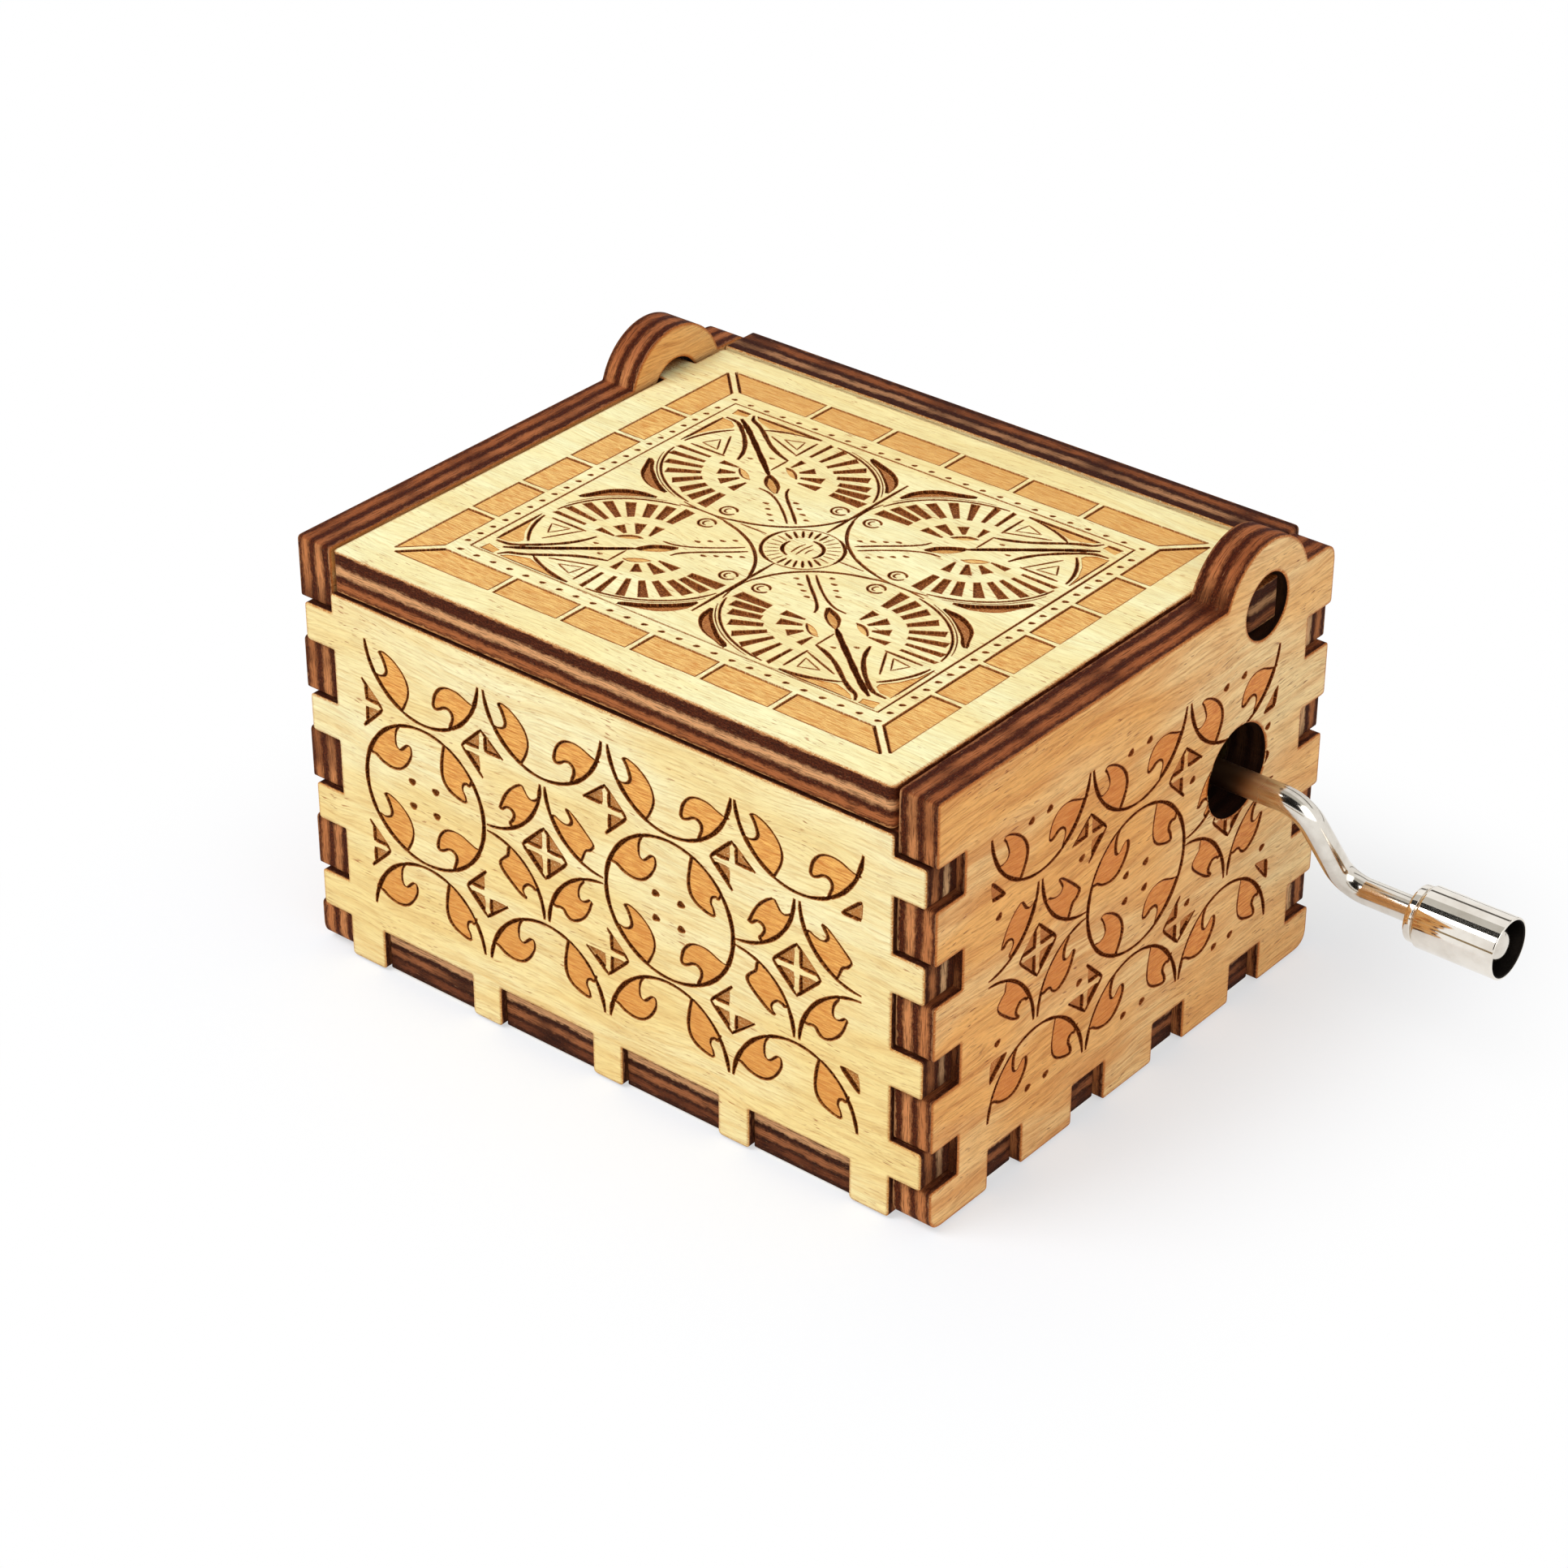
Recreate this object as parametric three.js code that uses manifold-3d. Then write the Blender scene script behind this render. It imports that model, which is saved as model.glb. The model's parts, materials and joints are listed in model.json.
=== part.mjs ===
// Hand crank music box. A laser-cut plywood case with finger joints and a hinged lid holds an
// 18-note movement: a bent crank turns a worm, the worm turns a pinned cylinder, and the pins
// pluck a tuned steel comb. Millimetres, +Z up, +X towards the crank, -Y is the front, and the
// origin lies under the middle of the case.
import * as THREE from "three";
import { mergeVertices } from "three/addons/utils/BufferGeometryUtils.js";
import Module from "manifold-3d";

const wasm = await Module();
wasm.setup();

// Case
const caseLength = 64;
const caseDepth = 52;
const caseHeight = 38;
const plyThickness = 3.6;
const jointClearance = 0.1;
const cornerRadius = 1.3;

// Finger joints between the walls
const wallTabHeight = 3.4;
const wallTabCount = 4;
const wallTabRecess = 0.7;
const wallFingerRecess = 0.35;
const lowestTabRise = 0.2;
const highestTabDrop = 1.8;

// Tabs of the bottom plate
const baseTabCount = 4;
const longTabEndLand = 7.6;
const longTabGap = 3.3;
const longTabRecess = 0.5;
const shortTabEndLand = 7.7;
const shortTabWidth = 4;
const shortTabRecess = 0.9;

// Lid and its hinge
const hingeSetback = 9.9;
const earRadius = 5.8;
const tenonWidth = 4;
const tenonClearance = 0.2;
const tenonRecess = 1.2;
const lidSideGap = 0.4;
const lidSeatGap = 0.2;
const lidFrontRecess = 0.2;
const lidSwingGap = 0.25;
const lidCornerRadius = 0.5;

// Clearances of turned pieces
const seatClearance = 0.06;
const runningClearance = 0.1;
const endPlay = 0.3;
const overrun = 1;

// Worm drive
const gearModule = 0.5;
const gearTeeth = 24;
const gearFaceWidth = 2.6;
const addendumShare = 0.8;
const dedendumShare = 1.2;
const wormPitchRadius = 2.3;
const wormLength = 8;
const threadTipWidth = 0.25;
const threadRootWidth = 0.98;
const toothTipWidth = 0.32;
const toothPitchWidth = 0.62;
const toothRootWidth = 0.92;
const frontHubLength = 1.9;
const frontHubRadius = 3;
const rearHubLength = 1.7;
const rearHubRadius = 2.1;

// Pinned cylinder
const cylinderRadius = 6.5;
const cylinderWall = 0.5;
const capFlange = 1.1;
const capSpigot = 1;
const pinRadius = 0.2;
const pinHeight = 0.45;
const trackCount = 18;
const trackEndLand = 1.15;
const arborRadius = 1.2;
const pivotRadius = 0.75;
const pivotOverhang = 0.4;
const shoulderGap = 0.2;

// Comb
const tipGap = 0.2;
const bassToothLength = 12;
const trebleToothLength = 6.5;
const toothGapShare = 0.25;
const toothThickness = 1;
const tipShare = 0.55;
const tipTaper = 0.9;
const heelLength = 8.5;
const heelThickness = 2;
const heelMargin = 0.6;
const heelGrindStart = 1.2;
const heelGrindLength = 2.2;
const weightedTeeth = 9;
const weightDepth = 1.8;
const weightLength = 2.4;
const weightSetback = 0.9;
const combScrewInset = 4;
const combScrewSpacingShare = 0.57;

// Movement base
const baseThickness = 2;
const cylinderFloorGap = 0.95;
const baseMargin = 1;
const baseTailMargin = 2.75;
const movementFrontGap = 5.5;
const freeLengthShare = 0.4;
const baseCornerRadius = 2;
const pedestalMargin = 1;
const pedestalFrontGap = 0.1;
const lugThickness = 1.8;
const lugRadius = 3;
const bossRadius = 2.4;
const bossHeight = 1.8;
const bossInset = 3.2;

// Bracket of the worm, folded round the wheel
const bracketThickness = 1.2;
const earGap = 1.8;
const earNoseRadius = 3;
const footLength = 3.6;
const footScrewLand = 2.5;
const footBackGap = 0.6;
const footScrewSpacing = 7;

// Bushes
const bushWall = 0.7;
const bushFlange = 0.4;
const bushFlangeOverhang = 0.7;

// Crank and knob
const rodRadius = 1.1;
const crankHoleRadius = 4.05;
const crankHoleRise = 0.8;
const crankStandoff = 6.2;
const crankRadius = 8.2;
const crankLean = 22;
const armAdvance = 2.7;
const bendRadius = 2.8;
const rodInnerOverhang = 0.6;
const clipThickness = 0.7;
const collarLength = 1.4;
const collarWall = 1.2;
const knobStandoff = 6.6;
const knobLength = 8.2;
const knobRadius = 2.62;
const knobWall = 0.28;
const knobRecess = 2.1;
const knobLip = 0.7;
const knobLipDrop = 0.22;
const knobChamfer = 0.15;
const knobBoreClearance = 0.2;
const washerThickness = 0.4;
const washerGap = 0.1;
const rodHeadRadius = 1.4;
const rodHeadLength = 0.7;
const rodHeadChamfer = 0.2;

// Screws
const screwRadius = 1;
const screwHeadRadius = 2;
const screwHeadHeight = 1.2;
const screwSlotWidth = 0.5;
const screwSlotDepth = 0.5;
const screwHoleClearance = 0.15;
const smallScrewRadius = 0.8;
const smallScrewHeadRadius = 1.5;
const smallScrewHeadHeight = 0.9;
const smallScrewReach = 2.6;
const baseScrewRecess = 0.3;
const baseScrewTipGap = 0.4;

// Facets
const smallFacets = 18;
const screwFacets = 12;
const wormFacets = 24;
const cylinderFacets = 48;
const knobFacets = 32;
const cornerFacets = 3;
const earFacets = 16;
const bendSteps = 6;
const gearSteps = 2;
const pinFacets = 4;

// Places worked out from the sizes above
const innerLength = caseLength - 2 * plyThickness;
const innerDepth = caseDepth - 2 * plyThickness;
const lidUnderside = caseHeight - plyThickness;
const hingeY = caseDepth / 2 - hingeSetback;
const hingeZ = caseHeight - plyThickness / 2;
const gearPitchRadius = (gearModule * gearTeeth) / 2;
const threadPitch = Math.PI * gearModule;
const centreDistance = gearPitchRadius + wormPitchRadius;
const baseTop = plyThickness + baseThickness;
const cylinderZ = baseTop + cylinderFloorGap + cylinderRadius + pinHeight;
const crankZ = cylinderZ + centreDistance;
const footBack = innerDepth / 2 - footBackGap;
const bracketFront = footBack - footLength - bracketThickness;
const gearBack = bracketFront - bushFlange - endPlay - rearHubLength;
const crankY = gearBack - gearFaceWidth / 2;
const gearFront = crankY - gearFaceWidth / 2;
const sleeveBack = gearFront - frontHubLength - endPlay - capFlange;
const lugFront = -innerDepth / 2 + movementFrontGap + baseMargin;
const lugBack = lugFront + lugThickness;
const sleeveFront = lugBack + bushFlange + endPlay + capFlange;
const trackMiddle = (sleeveFront + sleeveBack) / 2;
const trackPitch = (sleeveBack - sleeveFront - 2 * trackEndLand) / (trackCount - 1);
const toothWidth = trackPitch * (1 - toothGapShare);
const tipWidth = toothWidth * tipShare;
const combWidth = trackCount * trackPitch + 2 * heelMargin;
const tipReach = cylinderRadius + pinHeight + tipGap;
const heelRear = -tipReach - bassToothLength - heelLength;
const gearTipRadius = gearPitchRadius + addendumShare * gearModule;
const bracketSpan = 2 * (gearTipRadius + earGap + bracketThickness);
const pedestalRear = heelRear - pedestalMargin;
const pedestalFront = heelRear + heelLength - heelGrindStart - pedestalFrontGap;
const movementLength = bracketSpan / 2 + baseMargin + baseTailMargin - pedestalRear;
const baseRight = innerLength / 2 - freeLengthShare * (innerLength - movementLength);
const baseLeft = baseRight - movementLength;
const cylinderX = baseRight - baseMargin - bracketSpan / 2;
const combTop = cylinderZ + toothThickness / 2;
const combUnderside = combTop - heelThickness;
const knobAxisY = crankRadius * Math.sin(THREE.MathUtils.degToRad(crankLean));
const knobAxisZ = -crankRadius * Math.cos(THREE.MathUtils.degToRad(crankLean));

// Finishes
const finishes = {
  plywood: new THREE.MeshStandardMaterial({ color: 0xe8c98a, roughness: 0.75, metalness: 0 }),
  chrome: new THREE.MeshStandardMaterial({ color: 0xd8d8d6, roughness: 0.18, metalness: 1 }),
  brass: new THREE.MeshStandardMaterial({ color: 0xc9a24d, roughness: 0.3, metalness: 1 }),
  steel: new THREE.MeshStandardMaterial({ color: 0xb9bcc0, roughness: 0.35, metalness: 1 }),
  zinc: new THREE.MeshStandardMaterial({ color: 0xa8a9a6, roughness: 0.5, metalness: 0.9 }),
};

// Turns a closed geometry into a solid for cutting and joining. Vertices in one place become one,
// triangles that this folds to a line are dropped, and an inside-out surface is turned round.
function solidOf(geometry) {
  const bare = new THREE.BufferGeometry();
  const flat = geometry.index ? geometry.toNonIndexed() : geometry;
  bare.setAttribute("position", flat.getAttribute("position"));
  const merged = mergeVertices(bare, seatClearance / 100);
  const corners = Array.from(merged.index.array);
  const kept = [];
  for (let i = 0; i < corners.length; i += 3) {
    const [a, b, c] = corners.slice(i, i + 3);
    if (a !== b && b !== c && c !== a) kept.push(a, b, c);
  }
  const build = (triVerts) =>
    new wasm.Manifold(
      new wasm.Mesh({
        numProp: 3,
        vertProperties: merged.attributes.position.array,
        triVerts: new Uint32Array(triVerts),
      }),
    );
  const solid = build(kept);
  return solid.volume() < 0 ? build(kept.reverse()) : solid;
}

// Turns a solid back into a geometry, with its flat faces shaded flat.
function geometryOf(solid) {
  const mesh = solid.getMesh();
  const indexed = new THREE.BufferGeometry();
  indexed.setAttribute("position", new THREE.BufferAttribute(mesh.vertProperties, mesh.numProp));
  indexed.setIndex(new THREE.BufferAttribute(mesh.triVerts, 1));
  const flat = indexed.toNonIndexed();
  flat.computeVertexNormals();
  return flat;
}

// Joins geometries into the first one, then cuts others out of it.
function shaped(first, joined, removed) {
  let solid = solidOf(first);
  for (const geometry of joined) solid = solid.add(solidOf(geometry));
  for (const geometry of removed) solid = solid.subtract(solidOf(geometry));
  return geometryOf(solid);
}

// Frames that stand a shape up: its own X, Y and Z then run along the three directions given.
const alongX = new THREE.Vector3(1, 0, 0);
const alongY = new THREE.Vector3(0, 1, 0);
const alongZ = new THREE.Vector3(0, 0, 1);
const facingFront = new THREE.Matrix4().makeBasis(alongX, alongZ, alongY.clone().negate());
const facingSide = new THREE.Matrix4().makeBasis(alongY, alongZ, alongX);
const turnedAboutX = new THREE.Matrix4().makeBasis(alongZ, alongX, alongY);
const turnedAboutZ = new THREE.Matrix4().makeBasis(alongY, alongZ, alongX);

// Points of an arc from one angle to another, in radians, both ends included.
function arc(centreX, centreY, radius, from, to, steps) {
  const points = [];
  for (let i = 0; i <= steps; i++) {
    const angle = from + ((to - from) * i) / steps;
    points.push(
      new THREE.Vector2(centreX + radius * Math.cos(angle), centreY + radius * Math.sin(angle)),
    );
  }
  return points;
}

function circle(centreX, centreY, radius, facets) {
  return arc(centreX, centreY, radius, 0, 2 * Math.PI, facets).slice(0, facets);
}

// A plate of a given thickness from its outline and round holes, lying in XY on Z = 0.
function plate(outline, thickness, holes = []) {
  const shape = new THREE.Shape(outline);
  for (const hole of holes) shape.holes.push(new THREE.Path(hole));
  return new THREE.ExtrudeGeometry(shape, { depth: thickness, bevelEnabled: false });
}

// A turned piece about Y, from [radius, place along Y] pairs.
function turned(profile, facets) {
  const points = profile.map(([radius, along]) => new THREE.Vector2(radius, along));
  return new THREE.LatheGeometry(points, facets);
}

// A turned ring about Y with a bore, from start to end.
function ring(outerRadius, boreRadius, start, end, facets = smallFacets) {
  const profile = [
    [boreRadius, start],
    [outerRadius, start],
    [outerRadius, end],
    [boreRadius, end],
    [boreRadius, start],
  ];
  return turned(profile, facets);
}

function rodAlongZ(radius, start, end, facets = smallFacets) {
  const profile = [
    [0, start],
    [radius, start],
    [radius, end],
    [0, end],
  ];
  return turned(profile, facets).applyMatrix4(turnedAboutZ);
}

function roundedRectangle(left, right, front, back, radius) {
  const quarter = Math.PI / 2;
  return [
    ...arc(right - radius, front + radius, radius, -quarter, 0, cornerFacets),
    ...arc(right - radius, back - radius, radius, 0, quarter, cornerFacets),
    ...arc(left + radius, back - radius, radius, quarter, 2 * quarter, cornerFacets),
    ...arc(left + radius, front + radius, radius, 2 * quarter, 3 * quarter, cornerFacets),
  ];
}

// Spans of equal width, evenly spaced from low to high.
function evenSpans(low, high, width, count) {
  const pitch = (high - low - width) / (count - 1);
  return Array.from({ length: count }, (unused, i) => [low + i * pitch, low + i * pitch + width]);
}

function widened(spans, clearance) {
  return spans.map(([start, end]) => [start - clearance, end + clearance]);
}

// Corners of an edge that runs at one level and steps to another over each span.
function steppedEdge(spans, level, reach, place) {
  return spans.flatMap(([start, end]) => [
    place(start, level),
    place(start, reach),
    place(end, reach),
    place(end, level),
  ]);
}

function mirrored(points) {
  return points.map((point) => new THREE.Vector2(-point.x, point.y)).reverse();
}

function named(name, geometry, finish) {
  const mesh = new THREE.Mesh(geometry, finishes[finish]);
  mesh.name = name;
  return mesh;
}

// Spans of the finger joints, shared by the pieces that they hold together.
const wallTabs = evenSpans(
  plyThickness + lowestTabRise,
  lidUnderside - lidSeatGap - highestTabDrop,
  wallTabHeight,
  wallTabCount,
);
const longTabSpread = caseLength - 2 * longTabEndLand;
const longTabWidth = (longTabSpread - (baseTabCount - 1) * longTabGap) / baseTabCount;
const longTabs = evenSpans(-longTabSpread / 2, longTabSpread / 2, longTabWidth, baseTabCount);
const shortTabSpread = caseDepth - 2 * shortTabEndLand;
const shortTabs = evenSpans(-shortTabSpread / 2, shortTabSpread / 2, shortTabWidth, baseTabCount);

// Front and back walls: tabs at both ends, and notches below for the bottom plate.
function makeEndWall(name, height) {
  const halfLength = innerLength / 2 - jointClearance;
  const tabEnd = caseLength / 2 - wallTabRecess;
  const notchTop = plyThickness + jointClearance;
  const upright = (level, reach) => new THREE.Vector2(reach, level);
  const lying = (along, level) => new THREE.Vector2(along, level);
  const rightEdge = steppedEdge(wallTabs, halfLength, tabEnd, upright);
  const outline = [
    lying(-halfLength, 0),
    ...steppedEdge(widened(longTabs, jointClearance), 0, notchTop, lying),
    lying(halfLength, 0),
    ...rightEdge,
    lying(halfLength, height),
    lying(-halfLength, height),
    ...mirrored(rightEdge),
  ];
  return named(name, plate(outline, plyThickness).applyMatrix4(facingFront), "plywood");
}

// Side walls: notches at both ends and below, an ear for the lid's tenon, and on the right
// the hole of the crank.
function makeSideWall(name, holes) {
  const fingerEnd = caseDepth / 2 - wallFingerRecess;
  const notchEnd = innerDepth / 2 - jointClearance;
  const notchTop = plyThickness + jointClearance;
  const rise = Math.asin((caseHeight - hingeZ) / earRadius);
  const quarter = Math.PI / 2;
  const upright = (level, reach) => new THREE.Vector2(reach, level);
  const lying = (along, level) => new THREE.Vector2(along, level);
  const backEdge = steppedEdge(widened(wallTabs, jointClearance), fingerEnd, notchEnd, upright);
  const low = cornerRadius;
  const high = caseHeight - cornerRadius;
  const end = fingerEnd - cornerRadius;
  const outline = [
    ...arc(-end, low, cornerRadius, 2 * quarter, 3 * quarter, cornerFacets),
    ...steppedEdge(widened(shortTabs, jointClearance), 0, notchTop, lying),
    ...arc(end, low, cornerRadius, -quarter, 0, cornerFacets),
    ...backEdge,
    ...arc(end, high, cornerRadius, 0, quarter, cornerFacets),
    ...arc(hingeY, hingeZ, earRadius, rise, Math.PI - rise, earFacets),
    lying(-fingerEnd, caseHeight),
    ...mirrored(backEdge),
  ];
  const tenonHole = Math.hypot(tenonWidth, plyThickness) / 2 + tenonClearance;
  const allHoles = [circle(hingeY, hingeZ, tenonHole, smallFacets), ...holes];
  return named(name, plate(outline, plyThickness, allHoles).applyMatrix4(facingSide), "plywood");
}

// Screws of the movement, by their places on the base.
const baseFront = lugFront - baseMargin;
const baseScrewPlaces = [
  [baseLeft + bossInset, baseFront + bossInset],
  [baseLeft + bossInset, footBack - bossInset],
  [baseRight - bossInset, baseFront + bossInset],
];
const combScrewX = cylinderX + heelRear + combScrewInset;
const combScrewSpacing = combWidth * combScrewSpacingShare;
const combScrewPlaces = [
  [combScrewX, trackMiddle - combScrewSpacing / 2],
  [combScrewX, trackMiddle + combScrewSpacing / 2],
];
const footWidth = footScrewSpacing + 2 * footScrewLand;
const footScrewY = footBack - footLength / 2;
const footScrewPlaces = [
  [cylinderX - footScrewSpacing / 2, footScrewY],
  [cylinderX + footScrewSpacing / 2, footScrewY],
];

// Bottom plate: tabs on all four sides, and stepped holes for the screws of the movement.
function makeBottomPlate() {
  const halfLength = innerLength / 2 - jointClearance;
  const halfDepth = innerDepth / 2 - jointClearance;
  const upright = (level, reach) => new THREE.Vector2(reach, level);
  const lying = (along, level) => new THREE.Vector2(along, level);
  const backReach = caseDepth / 2 - longTabRecess;
  const sideReach = caseLength / 2 - shortTabRecess;
  const frontEdge = steppedEdge(longTabs, -halfDepth, -backReach, lying);
  const rightEdge = steppedEdge(shortTabs, halfLength, sideReach, upright);
  const backEdge = frontEdge.map((point) => new THREE.Vector2(point.x, -point.y)).reverse();
  const outline = [
    lying(-halfLength, -halfDepth),
    ...frontEdge,
    lying(halfLength, -halfDepth),
    ...rightEdge,
    lying(halfLength, halfDepth),
    ...backEdge,
    lying(-halfLength, halfDepth),
    ...mirrored(rightEdge),
  ];
  const shankHole = screwRadius + screwHoleClearance;
  const headHole = screwHeadRadius + screwHoleClearance;
  const headDepth = baseScrewRecess + screwHeadHeight + seatClearance;
  const holes = baseScrewPlaces.map(([x, y]) => circle(x, y, shankHole, smallFacets));
  const pockets = baseScrewPlaces.map(([x, y]) =>
    rodAlongZ(headHole, -overrun, headDepth).translate(x, y, 0),
  );
  return named("bottom_plate", shaped(plate(outline, plyThickness, holes), [], pockets), "plywood");
}

// Lid, about its hinge axis: a board whose two tenons turn in the ears. Its rear edge is set so
// that its lower corner swings clear of the back wall.
function makeLid() {
  const side = innerLength / 2 - lidSideGap;
  const tenonEnd = caseLength / 2 - tenonRecess;
  const front = -caseDepth / 2 + lidFrontRecess - hingeY;
  const swing = innerDepth / 2 - hingeY - lidSwingGap;
  const rear = Math.sqrt(swing ** 2 - (plyThickness / 2) ** 2);
  const quarter = Math.PI / 2;
  const corner = (x, y, start) =>
    arc(x, y, lidCornerRadius, start, start + quarter, cornerFacets);
  const end = side - lidCornerRadius;
  const point = (x, y) => new THREE.Vector2(x, y);
  const outline = [
    ...corner(-end, front + lidCornerRadius, 2 * quarter),
    ...corner(end, front + lidCornerRadius, -quarter),
    ...steppedEdge([[-tenonWidth / 2, tenonWidth / 2]], side, tenonEnd, (level, reach) =>
      point(reach, level),
    ),
    ...corner(end, rear - lidCornerRadius, 0),
    ...corner(-end, rear - lidCornerRadius, quarter),
    point(-side, tenonWidth / 2),
    point(-tenonEnd, tenonWidth / 2),
    point(-tenonEnd, -tenonWidth / 2),
    point(-side, -tenonWidth / 2),
  ];
  const board = plate(outline, plyThickness).translate(0, 0, -plyThickness / 2);
  return named("lid", board, "plywood");
}

// Cast base of the movement: a plate with a pedestal for the comb, a lug for the cylinder's
// front bearing and a boss over each screw.
function makeMovementBase() {
  const outline = roundedRectangle(baseLeft, baseRight, baseFront, footBack, baseCornerRadius);
  const boardPlate = plate(outline, baseThickness).translate(0, 0, plyThickness);
  const halfWidth = combWidth / 2 + pedestalMargin;
  const pedestalOutline = roundedRectangle(
    cylinderX + pedestalRear,
    cylinderX + pedestalFront,
    trackMiddle - halfWidth,
    trackMiddle + halfWidth,
    pedestalMargin,
  );
  const pedestalBottom = plyThickness + baseThickness / 2;
  const pedestal = plate(pedestalOutline, combUnderside - pedestalBottom);
  pedestal.translate(0, 0, pedestalBottom);
  const lugOutline = [
    new THREE.Vector2(-lugRadius, pedestalBottom - cylinderZ),
    new THREE.Vector2(lugRadius, pedestalBottom - cylinderZ),
    ...arc(0, 0, lugRadius, 0, Math.PI, earFacets),
  ];
  const lugHole = circle(0, 0, pivotRadius + bushWall + runningClearance + seatClearance, smallFacets);
  const lug = plate(lugOutline, lugThickness, [lugHole]).applyMatrix4(facingFront);
  lug.translate(cylinderX, lugBack, cylinderZ);
  const bosses = baseScrewPlaces.map(([x, y]) =>
    rodAlongZ(bossRadius, pedestalBottom, baseTop + bossHeight).translate(x, y, 0),
  );
  const drilled = baseScrewPlaces.map(([x, y]) =>
    rodAlongZ(screwRadius + screwHoleClearance, 0, combUnderside).translate(x, y, 0),
  );
  const tapped = combScrewPlaces.map(([x, y]) =>
    rodAlongZ(smallScrewRadius + screwHoleClearance, baseTop, combTop).translate(x, y, 0),
  );
  const footHoles = footScrewPlaces.map(([x, y]) =>
    rodAlongZ(smallScrewRadius + screwHoleClearance, 0, combTop).translate(x, y, 0),
  );
  const geometry = shaped(boardPlate, [pedestal, lug, ...bosses], [...drilled, ...tapped, ...footHoles]);
  return named("movement_base", geometry, "zinc");
}

// Comb, about the cylinder's axis: a plate cut into teeth of graded length, ground thin below
// towards the tips, with a tuning weight under each bass tooth.
function makeComb() {
  const first = trackMiddle - ((trackCount - 1) / 2) * trackPitch;
  const toothHalf = toothWidth / 2;
  const point = (x, y) => new THREE.Vector2(x, y);
  const rootOf = (tooth) => {
    const share = tooth / (trackCount - 1);
    return -tipReach - THREE.MathUtils.lerp(bassToothLength, trebleToothLength, share);
  };
  const toothOf = (tooth) => {
    const middle = first + tooth * trackPitch;
    return [
      point(rootOf(tooth), middle - toothHalf),
      point(-tipReach - tipTaper, middle - toothHalf),
      point(-tipReach, middle - tipWidth / 2),
      point(-tipReach, middle + tipWidth / 2),
      point(-tipReach - tipTaper, middle + toothHalf),
      point(rootOf(tooth), middle + toothHalf),
    ];
  };
  const teeth = Array.from({ length: trackCount }, (unused, tooth) => toothOf(tooth)).flat();
  const outline = [
    point(heelRear, trackMiddle - combWidth / 2),
    point(rootOf(0), trackMiddle - combWidth / 2),
    ...teeth,
    point(rootOf(trackCount - 1), trackMiddle + combWidth / 2),
    point(heelRear, trackMiddle + combWidth / 2),
  ];
  const sheetTop = toothThickness / 2;
  const sheet = plate(outline, heelThickness).translate(0, 0, sheetTop - heelThickness);
  const grindStart = heelRear + heelLength - heelGrindStart;
  const grinding = [
    point(grindStart, sheetTop - heelThickness),
    point(grindStart + heelGrindLength, -sheetTop),
    point(overrun, -sheetTop),
    point(overrun, -heelThickness - overrun),
    point(grindStart, -heelThickness - overrun),
  ];
  const ground = plate(grinding, combWidth + 2 * overrun).applyMatrix4(facingFront);
  ground.translate(0, trackMiddle + combWidth / 2 + overrun, 0);
  const weightOf = (tooth) => {
    const depth = weightDepth * (1 - tooth / weightedTeeth);
    const weight = new THREE.BoxGeometry(weightLength, tipWidth, depth + sheetTop);
    const start = -tipReach - weightSetback - weightLength / 2;
    return weight.translate(start, first + tooth * trackPitch, -sheetTop / 2 - depth / 2);
  };
  const weights = Array.from({ length: weightedTeeth }, (unused, tooth) => weightOf(tooth));
  const holes = combScrewPlaces.map(([x, y]) =>
    rodAlongZ(smallScrewRadius + screwHoleClearance, -heelThickness - overrun, overrun).translate(
      x - cylinderX,
      y,
      0,
    ),
  );
  const cut = shaped(sheet, [], [ground, ...holes]);
  return named("comb", shaped(cut, weights, []), "steel");
}

// Bracket of the worm: a folded strip with a back wall that holds the cylinder's rear bearing,
// two ears for the crank and a foot on the base.
function makeBracket() {
  const halfSpan = bracketSpan / 2;
  const top = crankZ + earNoseRadius;
  const wallOutline = roundedRectangle(-halfSpan, halfSpan, baseTop, top, bracketThickness);
  const bearingHole = pivotRadius + bushWall + runningClearance + seatClearance;
  const wallHole = circle(0, cylinderZ, bearingHole, smallFacets);
  const wall = plate(wallOutline, bracketThickness, [wallHole]).applyMatrix4(facingFront);
  wall.translate(cylinderX, bracketFront + bracketThickness, 0);
  const point = (y, z) => new THREE.Vector2(y, z);
  const earOutline = [
    point(bracketFront + bracketThickness / 2, crankZ - earNoseRadius),
    point(bracketFront + bracketThickness / 2, top),
    ...arc(crankY, crankZ, earNoseRadius, Math.PI / 2, (3 * Math.PI) / 2, earFacets),
  ];
  const earHole = rodRadius + bushWall + runningClearance + seatClearance;
  const ears = [-halfSpan, halfSpan - bracketThickness].map((x) =>
    plate(earOutline, bracketThickness, [circle(crankY, crankZ, earHole, smallFacets)])
      .applyMatrix4(facingSide)
      .translate(cylinderX + x, 0, 0),
  );
  const footOutline = roundedRectangle(
    cylinderX - footWidth / 2,
    cylinderX + footWidth / 2,
    bracketFront + bracketThickness / 2,
    footBack,
    bracketThickness / 2,
  );
  const footHoles = footScrewPlaces.map(([x, y]) =>
    circle(x, y, smallScrewRadius + screwHoleClearance, smallFacets),
  );
  const foot = plate(footOutline, bracketThickness, footHoles).translate(0, 0, baseTop);
  return named("worm_bracket", shaped(wall, [...ears, foot], []), "steel");
}

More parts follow.
